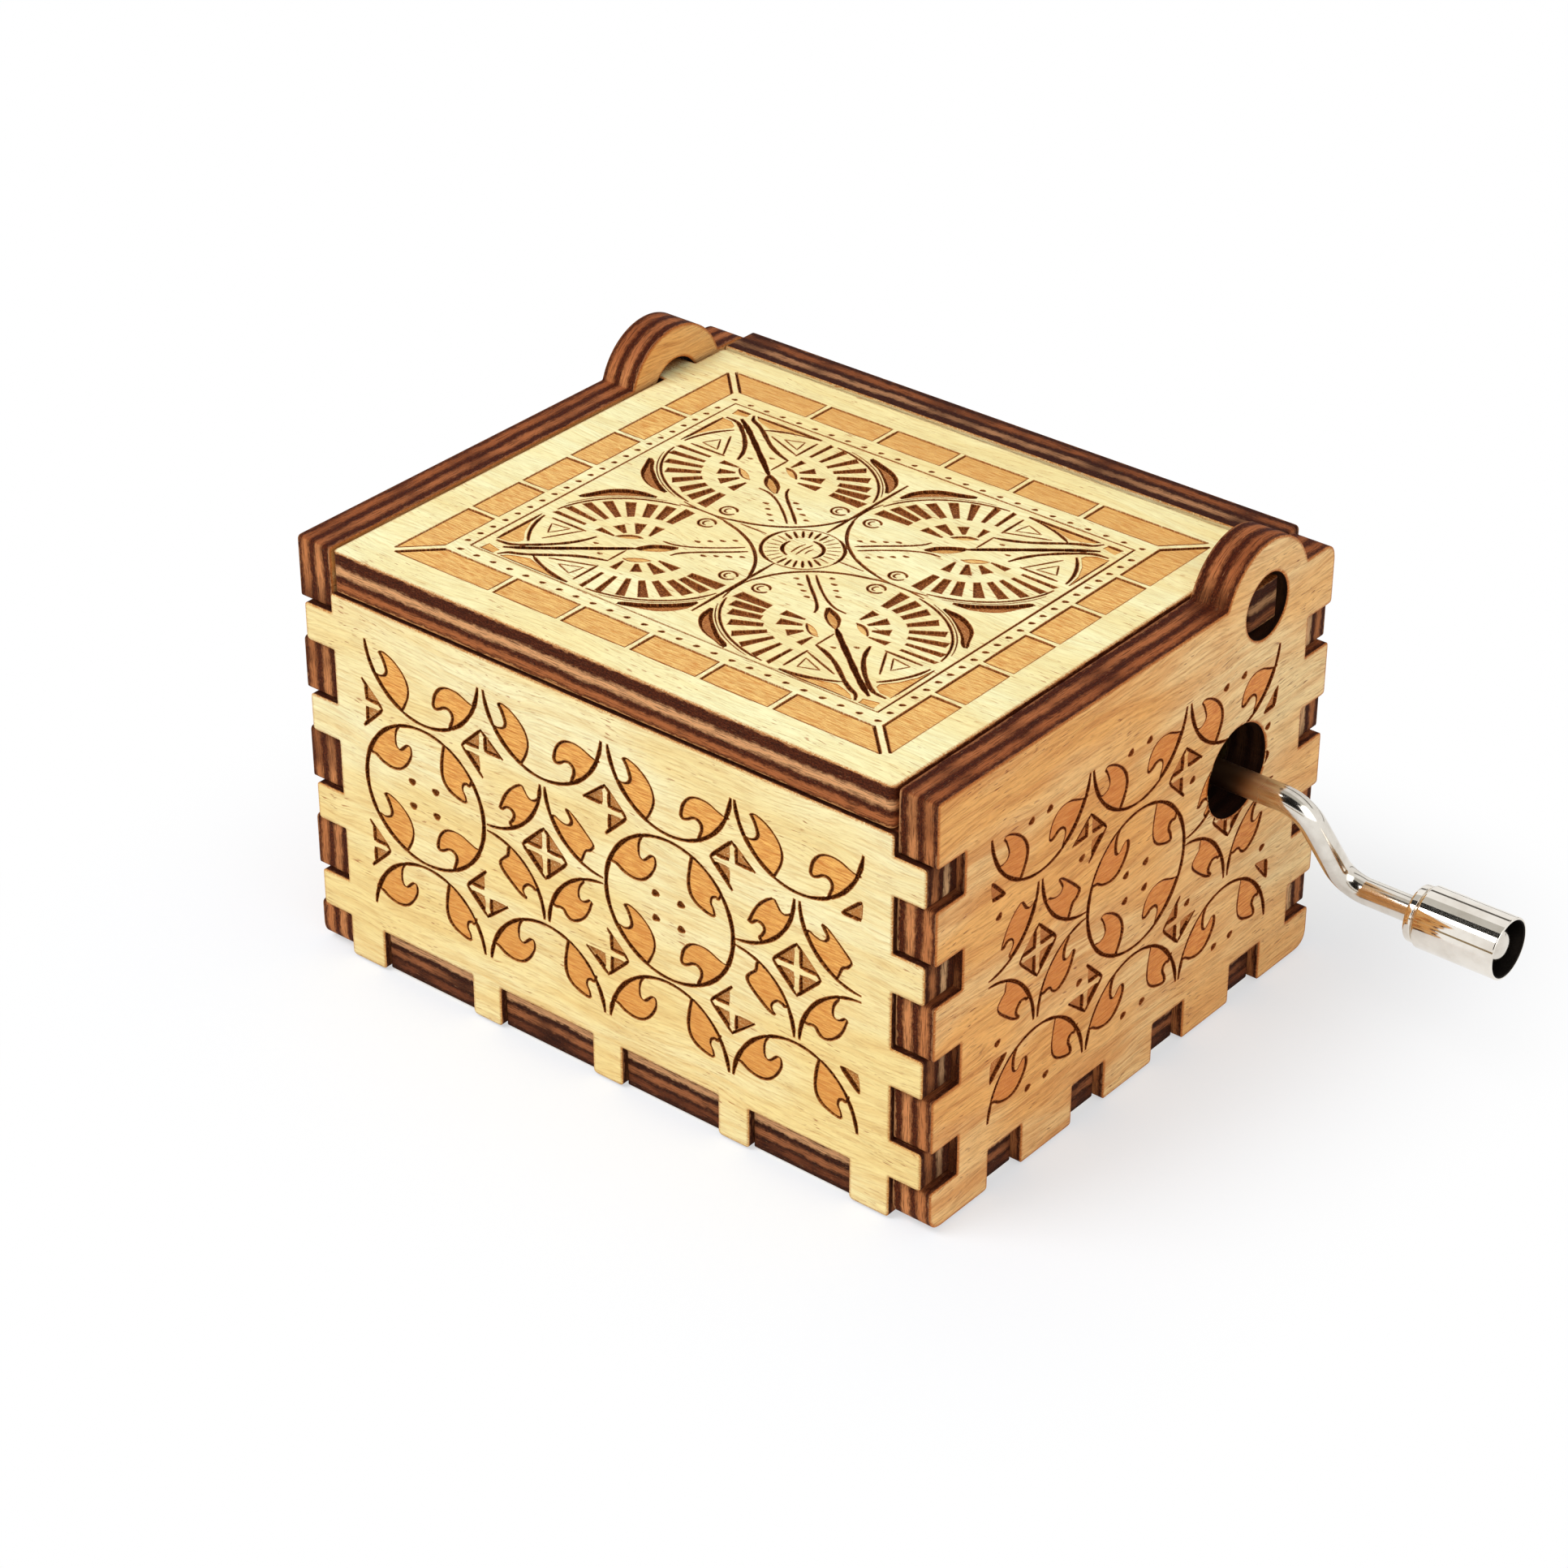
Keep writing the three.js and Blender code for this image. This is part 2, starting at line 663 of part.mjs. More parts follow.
// A flanged bush about Y. The body starts at Y = 0 and the flange lies on the negative side.
function bushGeometry(boreRadius, bodyLength) {
  const bodyRadius = boreRadius + bushWall;
  const flangeRadius = bodyRadius + bushFlangeOverhang;
  const profile = [
    [boreRadius, -bushFlange],
    [flangeRadius, -bushFlange],
    [flangeRadius, 0],
    [bodyRadius, 0],
    [bodyRadius, bodyLength],
    [boreRadius, bodyLength],
    [boreRadius, -bushFlange],
  ];
  return turned(profile, smallFacets);
}

// A slotted screw along Z: the top of its head lies at Z = 0 and its shank goes down.
function screwGeometry(shankRadius, headRadius, headHeight, length) {
  const profile = [
    [0, -headHeight - length],
    [shankRadius, -headHeight - length],
    [shankRadius, -headHeight],
    [headRadius, -headHeight],
    [headRadius, -headHeight / 3],
    [headRadius - headHeight / 3, 0],
    [0, 0],
  ];
  const body = turned(profile, screwFacets).applyMatrix4(turnedAboutZ);
  const slot = new THREE.BoxGeometry(2 * headRadius + overrun, screwSlotWidth, 2 * screwSlotDepth);
  return shaped(body, [], [slot]);
}

// Outline of the worm wheel about its axis, with a tooth space at the top. Each tooth has its
// width at the root, the pitch line and the tip.
function gearOutline() {
  const levels = [
    [gearPitchRadius - dedendumShare * gearModule, toothRootWidth],
    [gearPitchRadius, toothPitchWidth],
    [gearTipRadius, toothTipWidth],
  ];
  const points = [];
  for (let tooth = 0; tooth < gearTeeth; tooth++) {
    const middle = Math.PI / 2 + ((tooth + 1 / 2) / gearTeeth) * 2 * Math.PI;
    const rising = levels.map(([radius, width]) => [radius, middle - width / 2 / radius]);
    const falling = levels.map(([radius, width]) => [radius, middle + width / 2 / radius]);
    for (const [radius, angle] of [...rising, ...falling.reverse()]) {
      points.push(new THREE.Vector2(radius * Math.cos(angle), radius * Math.sin(angle)));
    }
  }
  return points;
}

// Worm wheel about Y at the worm's plane: its teeth lean by the lead angle of the thread.
function makeGear() {
  const bore = circle(0, 0, arborRadius + seatClearance, smallFacets);
  const shape = new THREE.Shape(gearOutline());
  shape.holes.push(new THREE.Path(bore));
  const blank = new THREE.ExtrudeGeometry(shape, {
    depth: gearFaceWidth,
    steps: gearSteps,
    bevelEnabled: false,
  });
  blank.applyMatrix4(facingFront).translate(0, gearFaceWidth / 2, 0);
  const lean = threadPitch / (2 * Math.PI * wormPitchRadius) / gearPitchRadius;
  const places = blank.getAttribute("position");
  const place = new THREE.Vector3();
  for (let i = 0; i < places.count; i++) {
    place.fromBufferAttribute(places, i);
    place.applyAxisAngle(alongY, lean * place.y);
    places.setXYZ(i, place.x, place.y, place.z);
  }
  const half = gearFaceWidth / 2;
  const bored = arborRadius + seatClearance;
  const hubs = [
    ring(frontHubRadius, bored, -half - frontHubLength, -half / 2),
    ring(rearHubRadius, bored, half / 2, half + rearHubLength),
  ];
  return named("drive_gear", shaped(blank, hubs, []), "brass");
}

// Worm about X: a single-start right-hand thread as a height over angle and length. Rows follow
// the thread, and what would pass an end of the worm is held on its end circle.
function makeWorm() {
  const rootRadius = wormPitchRadius - dedendumShare * gearModule;
  const tipRadius = wormPitchRadius + addendumShare * gearModule;
  const section = [
    [-threadRootWidth / 2, rootRadius],
    [-threadTipWidth / 2, tipRadius],
    [threadTipWidth / 2, tipRadius],
    [threadRootWidth / 2, rootRadius],
  ];
  const half = wormLength / 2;
  const turns = Math.ceil(half / threadPitch) + 1;
  const rows = [];
  for (let turn = -turns - 1; turn <= turns; turn++) {
    for (const [offset, radius] of section) rows.push([turn * threadPitch + offset, radius]);
  }
  // The thread's middle meets the wheel, below the worm, at the worm's own middle.
  const vertexAt = (step, row) => {
    const angle = (step / wormFacets) * 2 * Math.PI;
    const along = rows[row][0] + (threadPitch * step) / wormFacets;
    const inside = Math.abs(along) < half;
    const radius = inside ? rows[row][1] : rootRadius;
    const held = THREE.MathUtils.clamp(along, -half, half);
    const seen = angle - Math.PI / 2;
    return [held, radius * Math.cos(seen), radius * Math.sin(seen)];
  };
  const positions = [];
  const face = (...corners) => corners.forEach((corner) => positions.push(...corner));
  for (let step = 0; step < wormFacets; step++) {
    for (let row = 0; row < rows.length - 1; row++) {
      const [a, b] = [vertexAt(step, row), vertexAt(step + 1, row)];
      const [c, d] = [vertexAt(step + 1, row + 1), vertexAt(step, row + 1)];
      face(a, b, c);
      face(a, c, d);
    }
    face([-half, 0, 0], vertexAt(step + 1, 0), vertexAt(step, 0));
    face([half, 0, 0], vertexAt(step, rows.length - 1), vertexAt(step + 1, rows.length - 1));
  }
  const thread = new THREE.BufferGeometry();
  thread.setAttribute("position", new THREE.Float32BufferAttribute(positions, 3));
  const bore = turned(
    [
      [0, -half - overrun],
      [rodRadius + seatClearance, -half - overrun],
      [rodRadius + seatClearance, half + overrun],
      [0, half + overrun],
    ],
    smallFacets,
  ).applyMatrix4(turnedAboutX);
  return named("worm", shaped(thread, [], [bore]), "brass");
}

// Tracks that sound on a beat: a running scale that rises and falls, a lower voice on every
// second beat and a bass note on every fourth.
const beatCount = 60;
const scaleWaves = 3;
const middleShare = 0.62;
const swingShare = 0.34;
const lowerVoiceShare = 0.5;
const bassShares = [0, 0.12, 0.24, 0.06, 0.18];
function tracksOnBeat(beat) {
  const wave = Math.sin((2 * Math.PI * scaleWaves * beat) / beatCount);
  const top = trackCount - 1;
  const melody = Math.round(top * (middleShare + swingShare * wave));
  const tracks = [melody];
  if (beat % 2 === 0) tracks.push(Math.round(melody * lowerVoiceShare));
  if (beat % 4 === 0) tracks.push(Math.round(top * bassShares[(beat / 4) % bassShares.length]));
  return [...new Set(tracks)];
}

// Sleeve of the cylinder about Y, with a pin for each note.
function makeSleeve() {
  const bore = cylinderRadius - cylinderWall;
  const tube = ring(cylinderRadius, bore, sleeveFront, sleeveBack, cylinderFacets);
  const firstTrack = trackMiddle - ((trackCount - 1) / 2) * trackPitch;
  const pins = [];
  for (let beat = 0; beat < beatCount; beat++) {
    for (const track of tracksOnBeat(beat)) {
      const length = pinHeight + cylinderWall / 2;
      const pin = new THREE.CylinderGeometry(pinRadius, pinRadius, length, pinFacets);
      pin.translate(0, cylinderRadius + pinHeight - length / 2, 0);
      pin.rotateX(Math.PI / 2);
      pin.rotateY((2 * Math.PI * (beat + 1 / 2)) / beatCount);
      pin.translate(0, firstTrack + track * trackPitch, 0);
      pins.push(pin);
    }
  }
  return named("cylinder_sleeve", shaped(tube, pins, []), "brass");
}

// End cap of the cylinder about Y. Its flange covers the sleeve's end and its spigot goes in.
function capGeometry() {
  const bored = arborRadius + seatClearance;
  const spigot = cylinderRadius - cylinderWall - seatClearance;
  const profile = [
    [bored, -capFlange],
    [cylinderRadius, -capFlange],
    [cylinderRadius, 0],
    [spigot, 0],
    [spigot, capSpigot],
    [bored, capSpigot],
    [bored, -capFlange],
  ];
  return turned(profile, cylinderFacets);
}

function makeArbor() {
  const front = lugFront - pivotOverhang;
  const back = bracketFront + bracketThickness + pivotOverhang;
  const shoulderFront = lugBack + bushFlange + shoulderGap;
  const shoulderBack = bracketFront - bushFlange - shoulderGap;
  const profile = [
    [0, front],
    [pivotRadius, front],
    [pivotRadius, shoulderFront],
    [arborRadius, shoulderFront],
    [arborRadius, shoulderBack],
    [pivotRadius, shoulderBack],
    [pivotRadius, back],
    [0, back],
  ];
  return named("cylinder_arbor", turned(profile, smallFacets), "steel");
}

// A path through chosen stations, with the same step of the parameter between each two.
class StationPath extends THREE.Curve {
  constructor(stations) {
    super();
    this.stations = stations;
  }
  getPoint(share, target = new THREE.Vector3()) {
    const place = share * (this.stations.length - 1);
    const index = Math.min(Math.floor(place), this.stations.length - 2);
    return target.lerpVectors(this.stations[index], this.stations[index + 1], place - index);
  }
  getUtoTmapping(share) {
    return share;
  }
}

// Stations of a rod that runs straight between corners and bends round each inner one.
function bentStations(corners) {
  const stations = [corners[0]];
  for (let i = 1; i < corners.length - 1; i++) {
    const incoming = corners[i].clone().sub(corners[i - 1]).normalize();
    const outgoing = corners[i + 1].clone().sub(corners[i]).normalize();
    const turn = incoming.angleTo(outgoing);
    const start = corners[i].clone().addScaledVector(incoming, -bendRadius * Math.tan(turn / 2));
    const inward = outgoing.clone().addScaledVector(incoming, -Math.cos(turn)).normalize();
    stations.push(start.clone().addScaledVector(incoming, -rodRadius / 2));
    for (let step = 0; step <= bendSteps; step++) {
      const angle = (turn * step) / bendSteps;
      const station = start.clone().addScaledVector(incoming, bendRadius * Math.sin(angle));
      stations.push(station.addScaledVector(inward, bendRadius * (1 - Math.cos(angle))));
    }
    stations.push(stations.at(-1).clone().addScaledVector(outgoing, rodRadius / 2));
  }
  stations.push(corners.at(-1));
  return stations;
}

// Crank, about its own axis: one steel rod with two bends, headed at the knob's end.
const outerFace = caseLength / 2;
const bracketInner = cylinderX - bracketSpan / 2;
const rodInnerEnd = bracketInner - endPlay - clipThickness - rodInnerOverhang;
const armEndX = outerFace + crankStandoff + armAdvance;
const knobInner = armEndX + knobStandoff;
const knobShoulder = knobInner + knobLength - knobRecess;
const washerStart = knobShoulder + washerGap;
const rodHeadStart = washerStart + washerThickness + washerGap;
function makeCrankRod() {
  const corners = [
    new THREE.Vector3(rodInnerEnd, 0, 0),
    new THREE.Vector3(outerFace + crankStandoff, 0, 0),
    new THREE.Vector3(armEndX, knobAxisY, knobAxisZ),
    new THREE.Vector3(rodHeadStart + rodHeadLength / 2, knobAxisY, knobAxisZ),
  ];
  const stations = bentStations(corners);
  const section = new THREE.Shape(circle(0, 0, rodRadius, smallFacets));
  const rod = new THREE.ExtrudeGeometry(section, {
    steps: stations.length - 1,
    extrudePath: new StationPath(stations),
    bevelEnabled: false,
  });
  const headEnd = rodHeadStart + rodHeadLength;
  const headProfile = [
    [0, rodHeadStart],
    [rodHeadRadius, rodHeadStart],
    [rodHeadRadius, headEnd - rodHeadChamfer],
    [rodHeadRadius - rodHeadChamfer, headEnd],
    [0, headEnd],
  ];
  const head = turned(headProfile, smallFacets).applyMatrix4(turnedAboutX);
  head.translate(0, knobAxisY, knobAxisZ);
  return named("crank_rod", shaped(rod, [head], []), "chrome");
}

// Knob about its own axis along X: a thin sleeve with a rolled lip, open at its outer end.
function makeKnob() {
  const bore = rodRadius + knobBoreClearance;
  const outerEnd = knobInner + knobLength;
  const lipRadius = knobRadius - knobLipDrop;
  const grooveRadius = lipRadius - knobLipDrop;
  const recessRadius = knobRadius - knobWall;
  const profile = [
    [bore, knobInner],
    [grooveRadius, knobInner],
    [lipRadius, knobInner + knobChamfer],
    [lipRadius, knobInner + knobLip - knobChamfer],
    [grooveRadius, knobInner + knobLip],
    [knobRadius, knobInner + knobLip + knobChamfer],
    [knobRadius, outerEnd - knobChamfer],
    [knobRadius - knobChamfer, outerEnd],
    [recessRadius, outerEnd],
    [recessRadius, knobShoulder],
    [bore, knobShoulder],
    [bore, knobInner],
  ];
  return named("crank_knob", turned(profile, knobFacets).applyMatrix4(turnedAboutX), "chrome");
}

// Assembly
const musicBox = new THREE.Group();

const crankHole = circle(crankY, crankZ + crankHoleRise, crankHoleRadius, cylinderFacets);
const frontPanel = makeEndWall("front_panel", lidUnderside - lidSeatGap);
frontPanel.position.set(0, -innerDepth / 2, 0);
const backPanel = makeEndWall("back_panel", caseHeight);
backPanel.position.set(0, caseDepth / 2, 0);
const leftPanel = makeSideWall("left_side_panel", []);
leftPanel.position.set(-caseLength / 2, 0, 0);
const rightPanel = makeSideWall("right_side_panel", [crankHole]);
rightPanel.position.set(innerLength / 2, 0, 0);
musicBox.add(frontPanel, backPanel, leftPanel, rightPanel, makeBottomPlate());

const lid = makeLid();
lid.position.set(0, hingeY, hingeZ);
musicBox.add(lid, makeMovementBase(), makeBracket());

const comb = makeComb();
comb.position.set(cylinderX, 0, cylinderZ);
musicBox.add(comb);

baseScrewPlaces.forEach(([x, y], i) => {
  const reach = baseTop + bossHeight - baseScrewTipGap - baseScrewRecess - screwHeadHeight;
  const geometry = screwGeometry(screwRadius, screwHeadRadius, screwHeadHeight, reach);
  const screw = named(`base_screw_${i + 1}`, geometry, "steel");
  screw.position.set(x, y, baseScrewRecess);
  screw.rotation.x = Math.PI;
  musicBox.add(screw);
});
const smallScrew = () =>
  screwGeometry(smallScrewRadius, smallScrewHeadRadius, smallScrewHeadHeight, smallScrewReach);
combScrewPlaces.forEach(([x, y], i) => {
  const screw = named(`comb_screw_${i + 1}`, smallScrew(), "steel");
  screw.position.set(x, y, combTop + smallScrewHeadHeight);
  musicBox.add(screw);
});
footScrewPlaces.forEach(([x, y], i) => {
  const screw = named(`bracket_screw_${i + 1}`, smallScrew(), "steel");
  screw.position.set(x, y, baseTop + bracketThickness + smallScrewHeadHeight);
  musicBox.add(screw);
});

const pivotBore = pivotRadius + runningClearance;
const frontBush = named("front_arbor_bush", bushGeometry(pivotBore, lugThickness), "brass");
frontBush.position.set(cylinderX, lugBack, cylinderZ);
frontBush.rotation.x = Math.PI;
const rearBush = named("rear_arbor_bush", bushGeometry(pivotBore, bracketThickness), "brass");
rearBush.position.set(cylinderX, bracketFront, cylinderZ);
const crankBore = rodRadius + runningClearance;
const outerBushShape = bushGeometry(crankBore, bracketThickness).applyMatrix4(turnedAboutX);
const outerBush = named("outer_crank_bush", outerBushShape, "brass");
outerBush.position.set(cylinderX + bracketSpan / 2 - bracketThickness, crankY, crankZ);
const innerBushShape = bushGeometry(crankBore, bracketThickness).applyMatrix4(turnedAboutX);
const innerBush = named("inner_crank_bush", innerBushShape, "brass");
innerBush.position.set(bracketInner + bracketThickness, crankY, crankZ);
innerBush.rotation.z = Math.PI;
musicBox.add(frontBush, rearBush, outerBush, innerBush);

const cylinder = new THREE.Group();
cylinder.position.set(cylinderX, 0, cylinderZ);
const frontCap = named("front_cylinder_cap", capGeometry(), "brass");
frontCap.position.y = sleeveFront;
const rearCap = named("rear_cylinder_cap", capGeometry(), "brass");
rearCap.position.y = sleeveBack;
rearCap.rotation.x = Math.PI;
const driveGear = makeGear();
driveGear.position.y = crankY;
cylinder.add(makeSleeve(), frontCap, rearCap, makeArbor(), driveGear);
musicBox.add(cylinder);

const crank = new THREE.Group();
crank.position.set(0, crankY, crankZ);
const worm = makeWorm();
worm.position.x = cylinderX;
const bored = rodRadius + seatClearance;
const collarRadius = bored + collarWall;
const collarEnd = cylinderX + bracketSpan / 2 - bracketThickness - bushFlange - endPlay;
const collarShape = ring(collarRadius, bored, collarEnd - collarLength, collarEnd);
const collar = named("crank_collar", collarShape.applyMatrix4(turnedAboutX), "steel");
const clipEnd = bracketInner - endPlay;
const clipShape = ring(collarRadius, bored, clipEnd - clipThickness, clipEnd);
const clip = named("crank_clip", clipShape.applyMatrix4(turnedAboutX), "steel");
const washerRadius = knobRadius - knobWall - seatClearance;
const washerShape = ring(washerRadius, bored, washerStart, washerStart + washerThickness);
const washer = named("knob_washer", washerShape.applyMatrix4(turnedAboutX), "steel");
const knobAxis = new THREE.Group();
knobAxis.position.set(0, knobAxisY, knobAxisZ);
knobAxis.add(makeKnob(), washer);
crank.add(makeCrankRod(), worm, collar, clip, knobAxis);
musicBox.add(crank);

export default musicBox;
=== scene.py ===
"""Looks of the hand crank music box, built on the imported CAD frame."""

import json
import math
from collections import namedtuple

import bmesh
import bpy
import numpy as np
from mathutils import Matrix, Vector
from mathutils.geometry import delaunay_2d_cdt


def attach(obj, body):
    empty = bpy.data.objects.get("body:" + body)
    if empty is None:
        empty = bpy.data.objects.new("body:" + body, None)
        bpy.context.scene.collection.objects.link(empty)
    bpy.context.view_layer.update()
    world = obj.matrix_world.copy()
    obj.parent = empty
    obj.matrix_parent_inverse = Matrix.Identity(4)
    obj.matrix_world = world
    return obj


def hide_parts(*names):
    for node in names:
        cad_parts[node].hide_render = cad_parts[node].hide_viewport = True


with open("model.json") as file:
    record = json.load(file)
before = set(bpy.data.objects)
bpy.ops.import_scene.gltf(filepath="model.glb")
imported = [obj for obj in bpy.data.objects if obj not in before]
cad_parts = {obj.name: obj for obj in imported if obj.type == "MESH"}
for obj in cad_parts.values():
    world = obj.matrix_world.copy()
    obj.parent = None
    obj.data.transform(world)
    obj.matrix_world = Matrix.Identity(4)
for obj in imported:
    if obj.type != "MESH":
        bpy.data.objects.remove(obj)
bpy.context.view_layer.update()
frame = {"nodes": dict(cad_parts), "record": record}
nodes = frame["nodes"]
MM = 0.001
QUARTERS = [(-1, -1), (-1, 1), (1, -1), (1, 1)]

# Lines and shapes of the ornament, in each board's own millimetres

# A line's width, what it gains where it runs upright, how strongly it is burnt, the length over which its
# ends thin out, and the share of the width left at the very end.
Pen = namedtuple("Pen", "width swell strength taper end_share", defaults=(0.0, 1.0, 0.35, 0.45))
# Share of the width, radians per mm and number of phases of each waver in a line's width.
WAVERS = [(0.1, 2.3, 1), (0.06, 5.9, 2)]
PHASE_PER_MM = (3.1, 1.7)
LEAST_STEPS, PER_TURN, FINE_PER_TURN, RING_PER_TURN = 4, 110, 140, 40


def smooth_run(points, per=7):
    """Catmull-Rom run: q(t) = (1, t, t2, t3) M (p0, p1, p2, p3) / 2 on each stretch, with mirrored ends."""
    p = np.asarray(points, float)
    if len(p) < 3:
        t = np.linspace(0, 1, per)[:, None]
        return p[0] * (1 - t) + p[-1] * t
    a = np.vstack([2 * p[0] - p[1], p, 2 * p[-1] - p[-2]])
    t = np.arange(per) / per
    basis = 0.5 * np.stack(
        [-t + 2 * t**2 - t**3, 2 - 5 * t**2 + 3 * t**3, t + 4 * t**2 - 3 * t**3, t**3 - t**2]
    )
    stretches = np.stack([a[:-3], a[1:-2], a[2:-1], a[3:]])
    q = np.einsum("kt,knd->ntd", basis, stretches).reshape(-1, 2)
    return np.vstack([q, p[-1:]])


def arc(centre, radii, start, end, per_turn=PER_TURN):
    """(cx + rx cos a, cy + ry sin a) for a from start to end, in degrees."""
    steps = max(LEAST_STEPS, int(abs(end - start) / 360 * per_turn))
    a = np.radians(np.linspace(start, end, steps + 1))
    return np.asarray(centre) + np.stack([np.cos(a), np.sin(a)], 1) * radii


def arc_back(centre, radii, start, end):
    """The short way round an ellipse from under one point to under another."""
    (ax, ay), (bx, by) = (start - centre) / radii, (end - centre) / radii
    a, b = math.atan2(ay, ax), math.atan2(by, bx)
    b = a + (b - a + math.pi) % (2 * math.pi) - math.pi
    return arc(centre, radii, math.degrees(a), math.degrees(b), FINE_PER_TURN)


def stroke(line, pen):
    """Outline of a burnt line: q(s) +- n(s) w(s) / 2, w = width + swell |t_v|, wavering, thin at its ends."""
    t = np.gradient(line, axis=0)
    t /= np.linalg.norm(t, axis=1)[:, None] + 1e-12
    n = np.stack([-t[:, 1], t[:, 0]], 1)
    s = np.concatenate([[0], np.cumsum(np.linalg.norm(np.diff(line, axis=0), axis=1))])
    phase = line[0] @ PHASE_PER_MM
    waver = sum(share * np.sin(s * per_mm + phases * phase) for share, per_mm, phases in WAVERS)
    w = (pen.width + pen.swell * np.abs(t[:, 1])) * (1 + waver)
    if pen.taper > 0:
        near = np.clip(np.minimum(s, s[-1] - s) / pen.taper, 0, 1)
        w = w * (pen.end_share + (1 - pen.end_share) * near)
    half = n * w[:, None] / 2
    return np.vstack([line + half, (line - half)[::-1]])


class Drawing:
    """Burnt lines and stained areas of one board, each a polygon with its strength."""

    def __init__(self):
        self.lines, self.areas = [], []

    def line(self, points, pen):
        self.lines.append((stroke(np.asarray(points, float), pen), pen.strength))

    def run(self, points, pen, per=7):
        self.line(smooth_run(points, per), pen)

    def burnt(self, polygon, strength):
        self.lines.append((np.asarray(polygon, float), strength))

    def area(self, polygon, stain=1.0):
        self.areas.append((np.asarray(polygon, float), stain))

    def mirrored(self):
        other = Drawing()
        other.lines = [(p * (-1, 1), s) for p, s in self.lines]
        other.areas = [(p * (-1, 1), s) for p, s in self.areas]
        return other


# Scrollwork of the walls: round cells, star cells and four-triangle diamonds

# Free edges of the leaves of a round cell, from its ring and back to it; each list ends at a sharp tip.
ROUND_LEAVES = {
    "upper left": [
        [(-2.45, 5.85), (-2.85, 5.25), (-3.0, 4.55), (-2.95, 3.85), (-2.65, 3.55), (-2.35, 3.65), (-2.0, 4.0),
         (-1.7, 4.25), (-1.4, 4.2), (-1.3, 3.75), (-1.45, 3.15), (-1.95, 2.35), (-2.65, 1.75), (-3.55, 1.55),
         (-4.55, 1.75), (-5.25, 2.15), (-5.7, 2.2)],
    ],
    "lower right": [
        [(5.8, -2.55), (5.35, -2.55), (4.75, -2.35), (3.85, -2.0), (2.85, -1.95), (2.05, -2.25), (1.45, -2.95),
         (1.2, -3.75), (1.2, -4.15), (1.45, -4.3), (1.85, -4.15), (2.25, -3.9), (2.75, -3.85), (3.15, -4.15),
         (3.2, -4.65), (3.05, -5.05), (2.85, -5.6)],
    ],
    "upper right": [
        [(2.35, 5.75), (2.1, 4.55), (2.0, 3.35), (2.2, 2.45), (2.75, 1.85), (3.55, 1.5), (4.25, 1.35),
         (4.55, 1.45)],
        [(4.55, 1.45), (4.45, 1.95), (4.2, 2.45), (4.3, 2.95), (4.65, 3.15), (4.95, 3.1), (5.25, 3.65)],
    ],
    "lower left": [
        [(-5.15, -3.4), (-4.65, -3.5), (-4.1, -3.3), (-3.85, -2.85), (-4.0, -2.25), (-4.25, -1.7),
         (-4.55, -1.3)],
        [(-4.55, -1.3), (-4.05, -1.2), (-3.15, -1.55), (-2.35, -2.15), (-1.8, -2.85), (-1.55, -3.65),
         (-1.65, -4.45), (-2.0, -5.25), (-2.35, -5.85)],
    ],
}
# The same for a star cell; each leaf hangs on the arc about the corner named by the signs.
STAR_LEAVES = {
    (-1, 1): [
        [(-0.55, 4.75), (-0.8, 4.55), (-1.2, 4.4), (-1.6, 4.55), (-1.9, 4.95), (-2.15, 5.3), (-2.4, 5.35)],
        [(-2.4, 5.35), (-3.0, 4.95), (-3.7, 4.25), (-4.2, 3.45), (-4.55, 2.65), (-4.65, 2.4)],
        [(-4.65, 2.4), (-4.4, 2.4), (-4.0, 2.7), (-3.6, 2.75), (-3.25, 2.55), (-3.15, 2.15), (-3.4, 1.65),
         (-3.6, 1.4)],
    ],
    (1, 1): [
        [(1.2, 3.95), (1.6, 3.75), (2.2, 3.6), (2.7, 3.7), (2.95, 4.1), (2.75, 4.55), (2.4, 5.05)],
        [(2.4, 5.05), (2.8, 4.95), (3.6, 4.35), (4.5, 3.55), (5.1, 2.95), (5.15, 2.65)],
        [(5.15, 2.65), (4.8, 2.25), (4.4, 2.05), (4.2, 1.75), (4.0, 1.25)],
    ],
    (-1, -1): [
        [(-3.9, -1.15), (-4.0, -1.75), (-4.4, -2.15), (-4.8, -2.6), (-4.8, -3.05), (-4.4, -3.55), (-3.7, -4.15),
         (-2.9, -4.75), (-2.3, -5.0), (-2.1, -4.95)],
        [(-2.1, -4.95), (-2.4, -4.7), (-2.5, -4.35), (-2.3, -3.95), (-1.9, -3.65), (-1.4, -3.7), (-1.2, -3.85)],
    ],
    (1, -1): [
        [(1.0, -4.45), (1.5, -4.35), (1.85, -4.45), (2.1, -4.8), (2.5, -5.05), (3.0, -5.0), (3.6, -4.65),
         (4.1, -4.15), (4.5, -3.45), (4.75, -2.75), (4.85, -2.55)],
        [(4.85, -2.55), (4.6, -2.45), (4.2, -2.75), (3.8, -2.85), (3.5, -2.65), (3.45, -2.15), (3.6, -1.55),
         (4.0, -0.95)],
    ],
}
RING, ROW = (6.4, 6.3), (6.12, 6.35)
STAR_CORNER, STAR_ARC, STAR_SPREAD = (6.28, 6.36), (6.03, 6.08), 43.5
VINE_PEN, STAR_PEN = Pen(0.18, 0.19, 1.0, 0.9), Pen(0.17, 0.18, 1.0, 0.8)
LEAF_PEN = Pen(0.13, 0.1, 0.88, 0.0)
LEG_PEN, SIDE_PEN = Pen(0.15, 0.0, 0.9, 0.2), Pen(0.3, 0.0, 1.0, 0.5)
TRIANGLE_WIDTHS, TRIANGLE_STRENGTH = (0.16, 0.27, 0.16), 0.95
